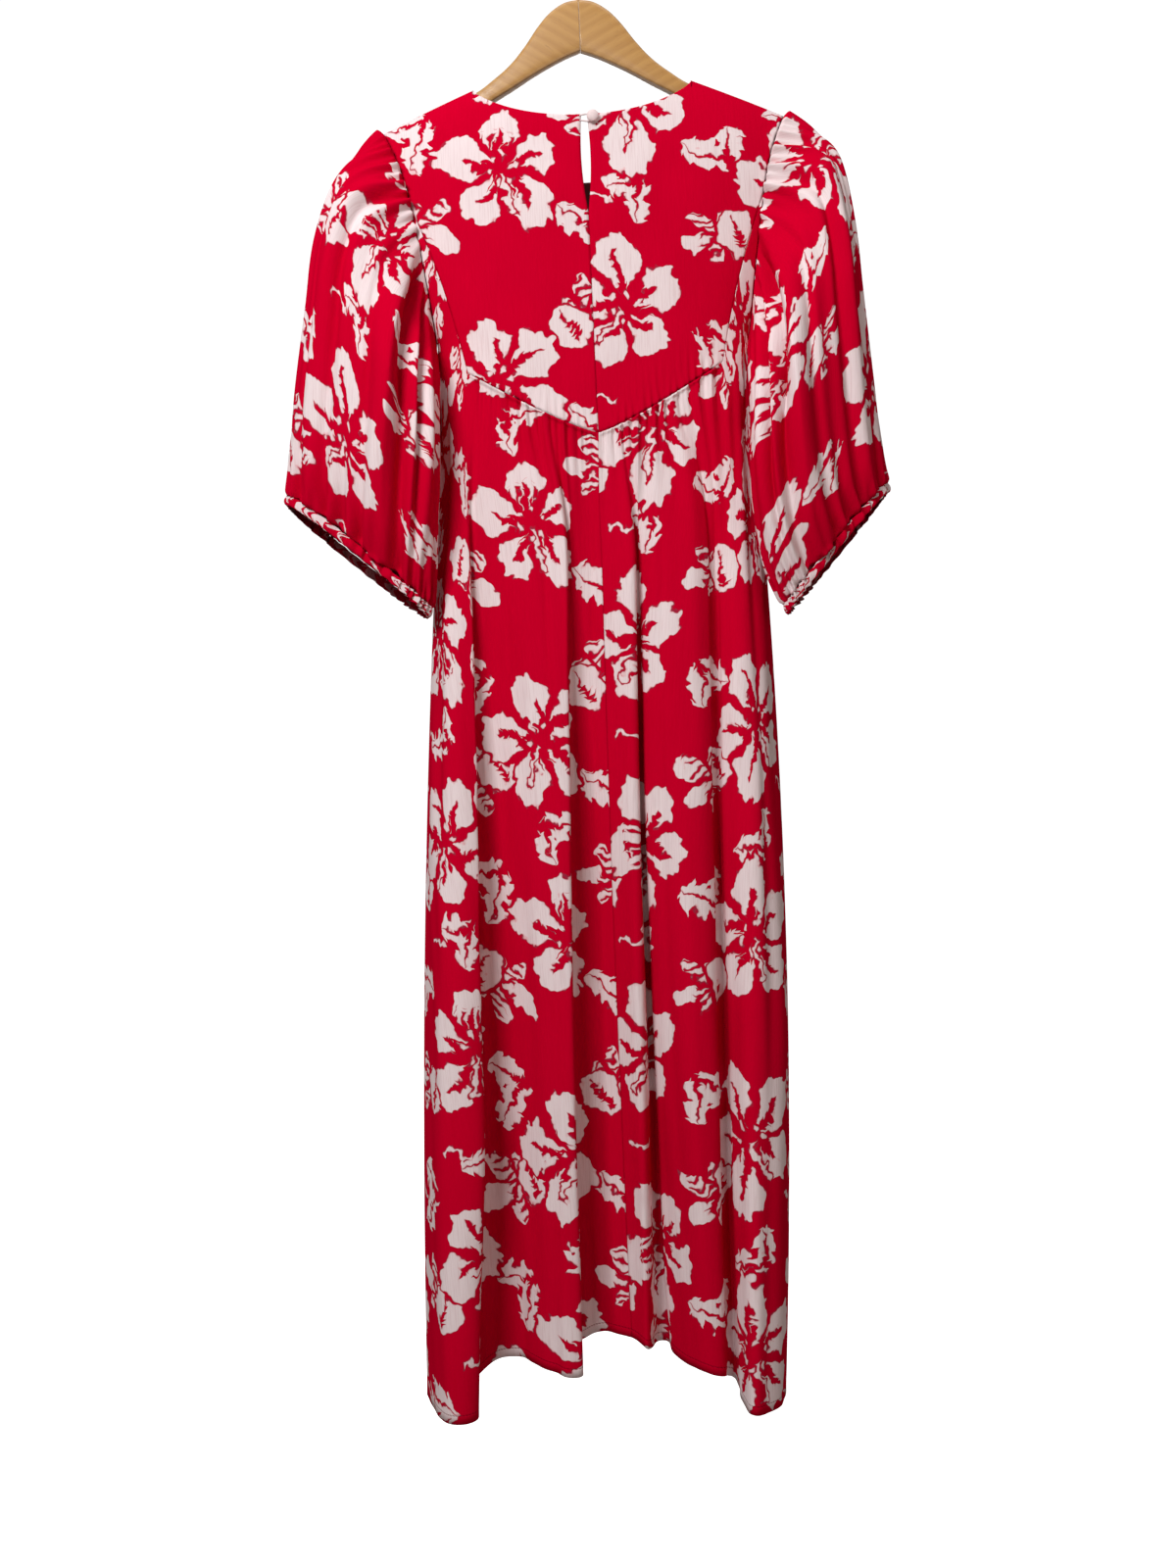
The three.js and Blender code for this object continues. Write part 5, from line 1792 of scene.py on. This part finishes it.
SLEEVE_RINGS = {
    Side.LEFT: (
        Ring("armhole", -181, 14, -182, -134, 5, -390, 24),
        Ring("head", -205, 13, -200, -137, -3, -406, 34),
        Ring("crown", -231, 11, -231, -132, -19, -430, 45),
        Ring("upper arm", -249, 8, -288, -129, -30, -466, 53),
        Ring("middle", -257, 6, -354, -127, -37, -510, 56),
        Ring("lower arm", -267, 5, -430, -128, -41, -560, 52),
        Ring("fullness", -273, 4, -494, -131, -40, -608, 44),
        Ring("cuff seam", -274, 4, -533, -135, -34, -643, 33),
    ),
    Side.RIGHT: (
        Ring("armhole", 202, 14, -165, 163, 5, -377, 24),
        Ring("head", 225, 13, -180, 165, -3, -394, 34),
        Ring("crown", 247, 11, -208, 162, -20, -420, 45),
        Ring("upper arm", 260, 8, -268, 160, -34, -458, 53),
        Ring("middle", 268, 6, -338, 158, -44, -503, 56),
        Ring("lower arm", 278, 5, -417, 160, -48, -552, 52),
        Ring("fullness", 287, 4, -488, 171, -46, -603, 44),
        Ring("cuff seam", 291, 4, -521, 190, -40, -640, 33),
    ),
}


class SleeveFold(NamedTuple):
    """A fold down a sleeve: its angle, its reach to both sides, and its depth at head, middle and cuff."""

    angle: float
    before: float
    after: float
    head: float
    middle: float
    cuff: float


SLEEVE_FOLDS = (
    SleeveFold(22, 6, 4, 1, 3, 2),
    SleeveFold(36, 3, 5, -2, -4, -2),
    SleeveFold(52, 12, 7, 3, 6, 3),
    SleeveFold(63, 3, 6, -3, -6, -3),
    SleeveFold(80, 9, 6, 0, -3, -2),
    SleeveFold(92, 3, 5, -3, -5, -2),
    SleeveFold(108, 12, 5, 5, 11, 6),
    SleeveFold(119, 3, 8, -9, -13, -5),
    SleeveFold(132, 5, 3, 2, 5, 3),
    SleeveFold(139, 3, 4, -6, -8, -3),
    SleeveFold(149, 7, 6, 3, 6, 3),
    SleeveFold(163, 11, 11, 5, 3, 0),
    SleeveFold(178, 9, 7, 7, 0, 0),
    SleeveFold(203, 10, 10, -4, -7, 0),
    SleeveFold(222, 8, 6, 0, 2, 3),
    SleeveFold(232, 4, 10, -5, -9, -4),
    SleeveFold(256, 13, 6, 3, 8, 4),
    SleeveFold(268, 3, 5, -3, -5, -2),
    SleeveFold(286, 11, 8, -1, -5, -3),
    SleeveFold(310, 8, 13, 3, 6, 3),
    SleeveFold(330, 4, 3, -2, -4, -2),
)


class HeadPleat(NamedTuple):
    """A pleat of the sleeve's head: degrees from the shoulder, depth, length down the sleeve, width."""

    angle: float
    depth: float
    length: float
    width: float


HEAD_PLEATS = (
    HeadPleat(2, 2.4, 1.1, 3.0),
    HeadPleat(10, 3.6, 0.8, 2.6),
    HeadPleat(16.5, 2.6, 1.4, 2.6),
    HeadPleat(25, 4.6, 1.0, 3.2),
    HeadPleat(32, 3.0, 0.7, 2.4),
    HeadPleat(39.5, 5.0, 2.0, 3.4),
    HeadPleat(47, 3.2, 0.8, 2.6),
    HeadPleat(55.5, 4.8, 1.3, 3.4),
    HeadPleat(62, 3.4, 0.7, 2.4),
    HeadPleat(71, 4.6, 2.4, 3.8),
    HeadPleat(80, 3.0, 0.9, 3.2),
    HeadPleat(91, 3.0, 1.7, 4.6),
    HeadPleat(104, 1.6, 1.0, 5.4),
)


@dataclass
class SleeveForm:
    """A puffed sleeve's surface: rings from armhole to cuff. Angle 0 is outer, 90 the garment's back."""

    skirt: SkirtForm
    power: float = 2.2
    join_angle: float = 75.0
    armhole_fade: float = 1.6
    pleat_strength: float = 2.3
    cuff_gathers: int = 46
    cuff_depth: float = 3.6
    seam_ruching: float = 0.62
    cuff_width: float = 9.0
    cuff_lean: float = 0.35
    cuff_back_rise: float = 5.0

    @property
    def last(self) -> int:
        """Place of the last ring."""
        return len(SLEEVE_RINGS[Side.LEFT]) - 1

    def ring(self, angle: Array, place: Array, side: Side) -> Array:
        """A point of the plain ring: a superellipse between its outer and inner points.

        Towards the cuff its back half rises and its front half drops.

        Args:
            angle: degrees round the ring.
            place: place down the sleeve, counted in rows of its table.
            side: which sleeve.

        Returns:
            The points.
        """
        table = along_table(np.array([row[1:] for row in SLEEVE_RINGS[side]], float), place)
        outer, inner, half_depth = table[..., 0:3], table[..., 3:6], table[..., 6]
        radians = np.radians(angle)
        circle = (np.cos(radians), np.sin(radians))
        across, deep = (np.sign(part) * np.abs(part) ** (2.0 / self.power) for part in circle)
        at = (outer + inner) / 2.0 + (outer - inner) * (across / 2.0)[..., None]
        at[..., 1] -= deep * half_depth
        at[..., 2] += deep * self.cuff_back_rise * smooth(self.last - 2.0, float(self.last), place)
        return at

    def armhole(self, angle: Array, side: Side) -> Array:
        """The armhole's edge, kept a seam's gap from its neighbours.

        Args:
            angle: degrees round the sleeve's first ring.
            side: which sleeve.

        Returns:
            The points.
        """
        yoke = self.skirt.yoke
        around = np.mod(angle, 360.0)
        turned_angle = np.where(around <= 180.0, around, 360.0 - around)
        found = []
        for face in Face:
            share = yoke.join_share * np.minimum(turned_angle / self.join_angle, 1.0)
            x, z = yoke.outer_edge(np.minimum(share, yoke.join_share - 1e-9))
            gap = SEWN_GAP * (1.3 + 0.7 * share / yoke.join_share)
            upper = lean(side.value * (x + gap), yoke.depth(x, z, face) + face.value * SEAM_GAP / 2.0, z)
            past_join = (turned_angle - self.join_angle) / (180.0 - self.join_angle)
            lower_share = np.clip(1.0 - past_join, 0.0, 1.0)
            lower = self.skirt.lower_armhole(lower_share, float(side.value), face)
            lower[..., 0] += side.value * SEWN_GAP
            found.append(np.where((turned_angle < self.join_angle)[..., None], upper, lower))
        return np.where((around <= 180.0)[..., None], found[0], found[1])

    def folds(self, angle: Array, place: Array) -> Array:
        """Depth of the long folds: bells, often steeper on one side, with depths mixed down the sleeve.

        Args:
            angle, place: points of the sleeve.

        Returns:
            How far each point stands out.
        """
        down = place / self.last
        total = np.zeros_like(place)
        for row in SLEEVE_FOLDS:
            turn = np.mod(angle - row.angle + 180.0, 360.0) - 180.0
            apart = turn / np.where(turn < 0.0, row.before, row.after)
            upper = lerp(row.head, row.middle, down * 2.0)
            lower = lerp(row.middle, row.cuff, down * 2.0 - 1.0)
            total = total + np.where(down < 0.5, upper, lower) * bell(apart)
        return total * smooth(0.0, 1.2, place)

    def pleats(self, angle: Array, place: Array) -> Array:
        """Height of the head's pleats: bells across that rise at the seam and fade down the sleeve.

        Args:
            angle, place: points of the sleeve.

        Returns:
            How far each point stands out.
        """
        total = np.zeros_like(place)
        for k, row in enumerate(HEAD_PLEATS):
            width = row.width * (0.9 + 0.4 * place)
            fading = self.pleat_strength * row.depth * np.exp(-((place / row.length) ** 1.5))
            for middle in (row.angle, -(row.angle + 3.0 * math.sin(2.0 * k))):
                apart = (np.mod(angle - middle + 180.0, 360.0) - 180.0) / width
                total = total + fading * bell(apart)
        return total * smooth(-0.06, 0.2, place)

    def ruching(self, angle: Array) -> Array:
        """Puckers of the elastic edge: two uneven waves round the ring, whose strength comes and goes.

        Args:
            angle: degrees round the ring.

        Returns:
            Their height, mostly between -1 and 1.
        """
        radians = np.radians(angle)
        phase = radians * self.cuff_gathers + 1.6 * np.sin(3.0 * radians) + 1.1 * np.sin(7.0 * radians + 1.0)
        other = radians * self.cuff_gathers * 0.62 + 2.0 * np.sin(5.0 * radians + 2.0)
        strength = 0.8 + 0.3 * np.sin(5.0 * radians + 0.6) + 0.2 * np.sin(11.0 * radians)
        return (0.7 * np.cos(phase) + 0.5 * np.cos(other)) * strength

    def puckers(self, angle: Array, place: Array) -> Array:
        """Height of the sleeve's own puckers above the cuff, short and long ones in turn.

        Args:
            angle, place: points of the sleeve.

        Returns:
            How far each point stands out.
        """
        radians = np.radians(angle)
        near_cuff = smooth(self.last - 0.9, self.last - 0.1, place)
        wide = np.cos(radians * 21.0 + 2.2 * np.sin(radians * 4.0))
        wide = wide * smooth(self.last - 2.0, self.last - 0.4, place)
        middle = np.cos(radians * 38.0 + 2.6 * np.sin(radians * 6.0 + 1.0))
        middle = middle * (0.7 + 0.4 * np.sin(radians * 9.0)) * near_cuff
        fine = self.ruching(angle) * near_cuff
        closing = smooth(float(self.last), self.last - 0.22, place)
        return (2.5 * wide + 2.3 * middle) * closing + self.seam_ruching * self.cuff_depth * fine


@dataclass
class Sleeves:
    """The two puffed sleeves and their narrow elasticated cuffs."""

    form: SleeveForm
    print_cloth: list[bpy.types.Material]
    wall: float = 0.7
    around: int = 361
    down: int = 108
    head_down: int = 34
    cuff_around: int = 505
    cuff_down: int = 16
    cuff_print: Pair = (1.8, 18.0)
    flat: Pair = (0.55, 0.38)
    cut_share: float = 0.68
    cuff_flat: Pair = (0.47, 0.01)

    def sleeve(self, side: Side) -> Cloth:
        """The cloth of one sleeve, open along the underarm seam in its flat coordinates.

        Rings follow the form. Folds, head pleats, puckers over the cuff and soft ripples are added outwards.

        Args:
            side: which sleeve.

        Returns:
            The cloth.
        """
        form = self.form
        head = np.linspace(0.0, 1.0, self.head_down, endpoint=False)
        places = np.concatenate([head, np.linspace(1.0, form.last, self.down - self.head_down)])
        angle, place = np.meshgrid(np.linspace(-180.0, 180.0, self.around), places)
        plain = form.ring(angle, place, side)
        first = form.ring(angle, 0.0 * place, side)
        join = form.armhole(angle, side) - first
        points = plain + join * np.exp(-2.0 * (place / form.armhole_fade) ** 2)[..., None]
        hint = points - points.mean(axis=1, keepdims=True)
        normals, _ = grid_normals(points, hint)
        soft = Ripple(61 + side.value, 0.35, 6.0)(np.radians(angle), place) * 0.9
        soft = soft * smooth(0.3, 2.0, place) * smooth(form.last, form.last - 1.0, place)
        soft = soft * smooth(180.0, 168.0, np.abs(angle))
        raised = form.folds(angle, place) + form.pleats(angle, place) + form.puckers(angle, place) + soft
        points = points + normals * raised[..., None]
        around = run_lengths(plain, 1)
        across = around - around[:, [self.around // 2]]
        down = run_lengths(plain, 0).mean(axis=1, keepdims=True) + 0.0 * across
        flat = np.stack([across + 40.0 * side.value, -down - 60.0], -1)
        return Cloth(points, hint, flat, (Edge.TOP, Edge.BOTTOM, Edge.START, Edge.END))

    def cuff(self, side: Side) -> Cloth:
        """The narrow casing: the last ring carried down, swollen over its elastic and ruched.

        Args:
            side: which cuff.

        Returns:
            The cloth.
        """
        form = self.form
        angles = np.linspace(-180.0, 180.0, self.cuff_around)
        angle, share = np.meshgrid(angles, np.linspace(0.0, 1.0, self.cuff_down))
        direction = np.array([side.value * form.cuff_lean, 0.0, -1.0])
        direction /= np.linalg.norm(direction)
        ring = form.ring(angle, np.full_like(angle, float(form.last)), side)
        drop = lerp(SEWN_GAP, form.cuff_width, share)
        points = ring + direction * drop[..., None]
        hint = points - points.mean(axis=1, keepdims=True)
        flat_hint = hint - direction * (hint @ direction)[..., None]
        outwards = flat_hint / np.linalg.norm(flat_hint, axis=-1, keepdims=True)
        strength = form.seam_ruching + 0.15 * np.sin(math.pi * share)
        wave = form.ruching(angle) * form.cuff_depth * strength
        swell = 0.7 * np.sin(math.pi * share) - 0.6 * smooth(0.8, 1.0, share)
        points = points + outwards * (wave + swell)[..., None]
        scallop = form.ruching(angle + 4.0) * 0.5 * smooth(0.5, 1.0, share)
        points = points + direction * scallop[..., None]
        around = run_lengths(points, 1)
        across = around - around[:, [self.cuff_around // 2]]
        squeeze, print_length = self.cuff_print
        flat = np.stack([across * squeeze + 40.0 * side.value, -share * print_length - 440.0], -1)
        seams = (Edge.TOP, Edge.START, Edge.END)
        return Cloth(points, hint, flat, seams, seam_dip=0.2, seam_reach=1.0)

    def build(self) -> None:
        """Builds both sleeves and both cuffs."""
        for side in Side:
            name = "sleeve_" + side.word
            sleeve = finish_cloth(self.sleeve(side), name, self.print_cloth, self.wall)
            cuff = finish_cloth(self.cuff(side), "cuff_" + side.word, self.print_cloth, self.wall)
            area = self.flat[0] * self.flat[1] * self.cut_share


class WoodRow(NamedTuple):
    """Top and bottom edge of the hanger's wood below its peak, at a distance from the middle."""

    x: float
    top: float
    bottom: float


WOOD_ROWS = (
    WoodRow(0, 0, 48.8),
    WoodRow(14, 2.6, 54),
    WoodRow(28, 11.5, 60.5),
    WoodRow(40, 24.6, 66.5),
    WoodRow(52, 41, 73),
    WoodRow(66, 57, 81),
    WoodRow(82, 70, 89.5),
    WoodRow(104, 83.8, 102),
    WoodRow(145, 98.3, 116.5),
    WoodRow(174, 108.9, 125.5),
    WoodRow(182, 114.5, 123.5),
)


@dataclass
class Hanger:
    """The contoured wooden hanger and its wire hook."""

    wood: dict[Side, bpy.types.Material]
    steel: bpy.types.Material
    thickness: float = 12.0
    wire: float = 3.5
    inner_radius: float = 19.0
    tip_angle: float = 200.0
    turn_angle: float = -42.0
    steps: int = 96
    sides: int = 36
    hook_steps: int = 170
    hook_sides: int = 20

    def arm(self, side: Side) -> bpy.types.Object:
        """One arm: a rounded section carried along the profile.

        The section at each step is a superellipse of power 4 between the top and bottom edges, as thick
        as the wood, and swept towards the garment's front by 14 * (x / 190) squared.

        Args:
            side: which arm.

        Returns:
            The arm.
        """
        table = np.array([[row.x, row.top, row.bottom] for row in WOOD_ROWS], float)
        along = np.linspace(0.0, len(table) - 1.0, self.steps)
        x, top, bottom = (along_table(table[:, k], along) for k in range(3))
        x = np.maximum(x, SEAM_GAP / 2.0)
        angle = np.linspace(0.0, TURN, self.sides, endpoint=False)
        circle = (np.cos(angle), np.sin(angle))
        across, up = (np.sign(part) * np.sqrt(np.abs(part)) for part in circle)
        end = smooth(1.0, 0.97, along / along[-1]) * 0.5 + 0.5
        half = (bottom - top) / 2.0
        y = ARM_SWEEP * (x / ARM_REACH) ** 2
        points = lean(
            (side.value * x)[:, None] + 0.0 * up,
            y[:, None] + across * (self.thickness / 2.0) * end[:, None],
            (-(top + bottom) / 2.0)[:, None] + up * half[:, None] * end[:, None],
        )
        return closed_rings("hanger_arm_" + side.word + "_wood", points)

    def hook(self) -> bpy.types.Object:
        """The wire: an arc round the rail, then a bend into the stem that stands on the wood.

        Returns:
            The hook.
        """
        radius = self.inner_radius + self.wire / 2.0
        angle = np.radians(np.linspace(self.tip_angle, self.turn_angle, 60))
        arc = np.stack([radius * np.cos(angle), 0.0 * angle, radius * np.sin(angle) - self.inner_radius], -1)
        bend_start = [5.0, 0.0, WOOD_TOP_Z + 19.0]
        bend_end = [0.6, 0.0, WOOD_TOP_Z + 13.0]
        foot = [0.0, 0.0, WOOD_TOP_Z + SEAM_GAP]
        coarse = np.concatenate([arc[::5], arc[-1:], [bend_start, bend_end, foot]])
        place = np.linspace(0.0, len(coarse) - 1.0, self.hook_steps)
        path = np.stack([along_table(coarse[:, k], place) for k in range(3)], -1)
        walked = run_lengths(path, 0)
        rounded = np.sqrt(np.clip(1.0 - (1.0 - np.clip(walked / 1.6, 0.0, 1.0)) ** 2, 0.02, 1.0))
        return tube("hook_wire", path, rounded * self.wire / 2.0, self.hook_sides, np.array([0.0, 1.0, 0.0]))

    def build(self) -> None:
        """Builds both arms and the hook."""
        for side in Side:
            arm = self.arm(side)
            dress(arm, [self.wood[side]], "hanger_arm_" + side.word)
            log.info("%s built", arm.name)
        hook = self.hook()
        dress(hook, [self.steel], "hook")
        log.info("%s built", hook.name)


class LoopPoint(NamedTuple):
    """A point of the loop's path: across, and up or down from the button's middle."""

    x: float
    z: float


LOOP_PATH = (
    LoopPoint(-4.2, 2.2),
    LoopPoint(0, 3),
    LoopPoint(4.5, 3.4),
    LoopPoint(8, 3.3),
    LoopPoint(10.6, 1.8),
    LoopPoint(10.9, -0.6),
    LoopPoint(9.2, -2.8),
    LoopPoint(6, -3.6),
    LoopPoint(2, -3.6),
    LoopPoint(-4.2, -2.4),
)


@dataclass
class Fastening:
    """The covered button and the loop at the top of the slit."""

    yoke: YokeForm
    pale: bpy.types.Material
    radius: float = 5.6
    height: float = 6.4
    stem: float = 2.4
    stem_radius: float = 1.6
    x: float = 8.0
    z: float = -124.5
    tucks: int = 11
    button_sides: int = 72
    loop_wire: float = 1.5
    loop_steps: int = 90
    loop_sides: int = 14

    def button(self) -> bpy.types.Object:
        """The button: a profile turned about an axis out of the garment's back, with tucks round its rim.

        Returns:
            The button.
        """
        dome = np.linspace(0.0, math.pi / 2.0, 18)
        rim = self.stem + 1.2
        reach = np.concatenate([[0.02, 1.0, 1.0, 0.86], np.cos(dome)]) * self.radius
        reach[1:3] = self.stem_radius
        reach[-1] = 0.02
        tall = np.concatenate([[0.0, 0.0, self.stem, self.stem], rim + (self.height - rim) * np.sin(dome)])
        angle = np.linspace(0.0, TURN, self.button_sides, endpoint=False)
        around = np.cos(self.tucks * angle + 0.8 * np.sin(3.0 * angle))
        tuck = 1.0 + 0.022 * around[None, :] * bell((tall - rim) / 1.4)[:, None]
        seat = float(self.yoke.depth(np.array(self.x), np.array(self.z), Face.BACK)) - SEAM_GAP - 0.3
        centre = lean(np.array(self.x), np.array(seat), np.array(self.z))
        spread = reach[:, None] * tuck
        away = np.stack([spread * np.cos(angle), -tall[:, None] + 0.0 * spread, spread * np.sin(angle)], -1)
        return closed_rings("button_covered", centre + away)

    def loop(self) -> bpy.types.Object:
        """The loop: a thin cord along its path just outside the yoke.

        Returns:
            The loop.
        """
        table = np.array(LOOP_PATH, float)
        place = np.linspace(0.0, len(table) - 1.0, self.loop_steps)
        x, z = (along_table(table[:, k], place) for k in range(2))
        z = z + self.z
        depth = self.yoke.depth(np.abs(x), z, Face.BACK) - self.loop_wire / 2.0 - SEAM_GAP
        path = lean(x, depth, z)
        twist = 1.0 + 0.05 * np.sin(np.arange(self.loop_steps) * 1.9)
        radius = twist * self.loop_wire / 2.0
        return tube("button_loop_cord", path, radius, self.loop_sides, np.array([0.0, 1.0, 0.0]))

    def build(self) -> None:
        """Builds the button and the loop."""
        for made, node in ((self.button(), "button"), (self.loop(), "button_loop")):
            dress(made, [self.pale], node)
            log.info("%s built", made.name)


NEUTRAL: Colour = (1.0, 1.0, 1.0, 1.0)
WARM: Colour = (1.0, 0.84, 0.76, 1.0)


class Lamp(NamedTuple):
    """A soft rectangular light: where it stands, the point it faces, width and height, watts and colour."""

    name: str
    at: tuple[float, float, float]
    aim: tuple[float, float, float]
    size: Pair
    power: float
    colour: Colour


LAMPS = (
    Lamp("key", (-1.0, -1.9, 0.6), (0.0, 0.0, -0.45), (0.9, 0.7), 47.0, NEUTRAL),
    Lamp("fill", (1.4, -2.0, -0.4), (0.0, 0.0, -0.8), (1.2, 1.2), 5.0, WARM),
    Lamp("top", (0.0, -0.3, 1.4), (0.0, 0.0, -0.5), (1.6, 1.0), 10.0, NEUTRAL),
    Lamp("front side", (0.4, 2.4, 0.4), (0.0, 0.0, -0.6), (1.6, 1.2), 26.0, NEUTRAL),
)


@dataclass
class Studio:
    """Camera, soft lights, white surroundings and a pale floor. Lengths here are metres."""

    eye: tuple[float, float, float] = (0.0093, -1.3, -0.805)
    lens: float = 31.45
    floor_z: float = -1.62
    floor_half: float = 6.0
    seen_light: float = 1.05
    ambient: float = 0.19

    def camera(self) -> None:
        """Level camera square to the garment's back."""
        data = bpy.data.cameras.new("camera")
        data.lens = self.lens
        data.sensor_width = 36.0
        data.clip_start, data.clip_end = 0.05, 60.0
        made = bpy.data.objects.new("camera", data)
        made.location = self.eye
        made.rotation_euler = (math.pi / 2.0, 0.0, 0.0)
        bpy.context.scene.collection.objects.link(made)
        bpy.context.scene.camera = made

    def light(self, lamp: Lamp) -> None:
        """Adds a light, turned so that it faces its point.

        Args:
            lamp: its row of the table.
        """
        data = bpy.data.lights.new(lamp.name, "AREA")
        data.shape = "RECTANGLE"
        data.size, data.size_y = lamp.size
        data.energy = lamp.power
        data.color = lamp.colour[:3]
        made = bpy.data.objects.new(lamp.name, data)
        forward = np.array(lamp.aim) - np.array(lamp.at)
        forward /= np.linalg.norm(forward)
        pitch = math.acos(float(np.clip(-forward[2], -1.0, 1.0)))
        heading = math.atan2(float(forward[1]), float(forward[0])) - math.pi / 2.0
        made.location = lamp.at
        made.rotation_euler = (pitch, 0.0, heading)
        bpy.context.scene.collection.objects.link(made)

    def surroundings(self) -> None:
        """White as the camera sees it, and a softer grey as light."""
        world = bpy.data.worlds.new("surroundings")
        bpy.context.scene.world = world
        world.use_nodes = True
        tree = world.node_tree
        background = tree.nodes["Background"]
        path = tree.nodes.new("ShaderNodeLightPath")
        tint = tree.nodes.new("ShaderNodeMix")
        tint.data_type = "RGBA"
        tint.inputs[6].default_value = WARM
        tint.inputs[7].default_value = NEUTRAL
        tree.links.new(path.outputs["Is Camera Ray"], tint.inputs[0])
        tree.links.new(tint.outputs[2], background.inputs["Color"])
        strength = tree.nodes.new("ShaderNodeMath")
        strength.operation = "MULTIPLY_ADD"
        strength.inputs[1].default_value = self.seen_light - self.ambient
        strength.inputs[2].default_value = self.ambient
        tree.links.new(path.outputs["Is Camera Ray"], strength.inputs[0])
        tree.links.new(strength.outputs[0], background.inputs["Strength"])

    def floor(self) -> None:
        """A wide pale floor."""
        size, z = self.floor_half, self.floor_z
        corners = np.array([[-size, -size, z], [size, -size, z], [size, size, z], [-size, size, z]])
        made = new_mesh("floor", corners / MILLIMETRE, [[0, 1, 2, 3]])
        shader = Shader("pale floor")
        grain = shader.node("ShaderNodeTexCoord", {}, {}, "Object")
        speck = shader.node("ShaderNodeTexNoise", {}, {"Vector": grain, "Scale": 40.0, "Detail": 2.0})
        shader.feed("Base Color", shader.mix(speck * 0.3, (0.95, 0.95, 0.95, 1.0), (0.92, 0.92, 0.92, 1.0)))
        shader.feed("Roughness", 0.9)
        shader.feed("Emission Color", NEUTRAL)
        shader.feed("Emission Strength", 0.85)
        made.data.materials.append(shader.material)
        made.visible_diffuse = False

    def build(self) -> None:
        """Sets the camera, the lights and the surroundings."""
        bpy.context.scene.view_settings.view_transform = "Standard"
        self.camera()
        self.surroundings()
        self.floor()
        for lamp in LAMPS:
            self.light(lamp)
        log.info("studio built")


def main() -> None:
    """Builds the sub-assemblies in order and reports each."""
    logging.basicConfig(level=logging.INFO, format="%(name)s: %(message)s")
    flowers = HibiscusPrint()
    print_cloth = [flowers.material("printed cloth", False), flowers.material("cloth reverse", True)]
    yoke = YokeForm()
    skirt = SkirtForm(yoke)
    Studio().build()
    Yokes(yoke, print_cloth).build()
    Skirts(skirt, print_cloth).build()
    Sleeves(SleeveForm(skirt), print_cloth).build()
    Fastening(yoke, PaleCloth().material()).build()
    Hanger({side: VarnishedWood().material(side) for side in Side}, BrightSteel().material()).build()


if __name__ == "__main__":
    main()
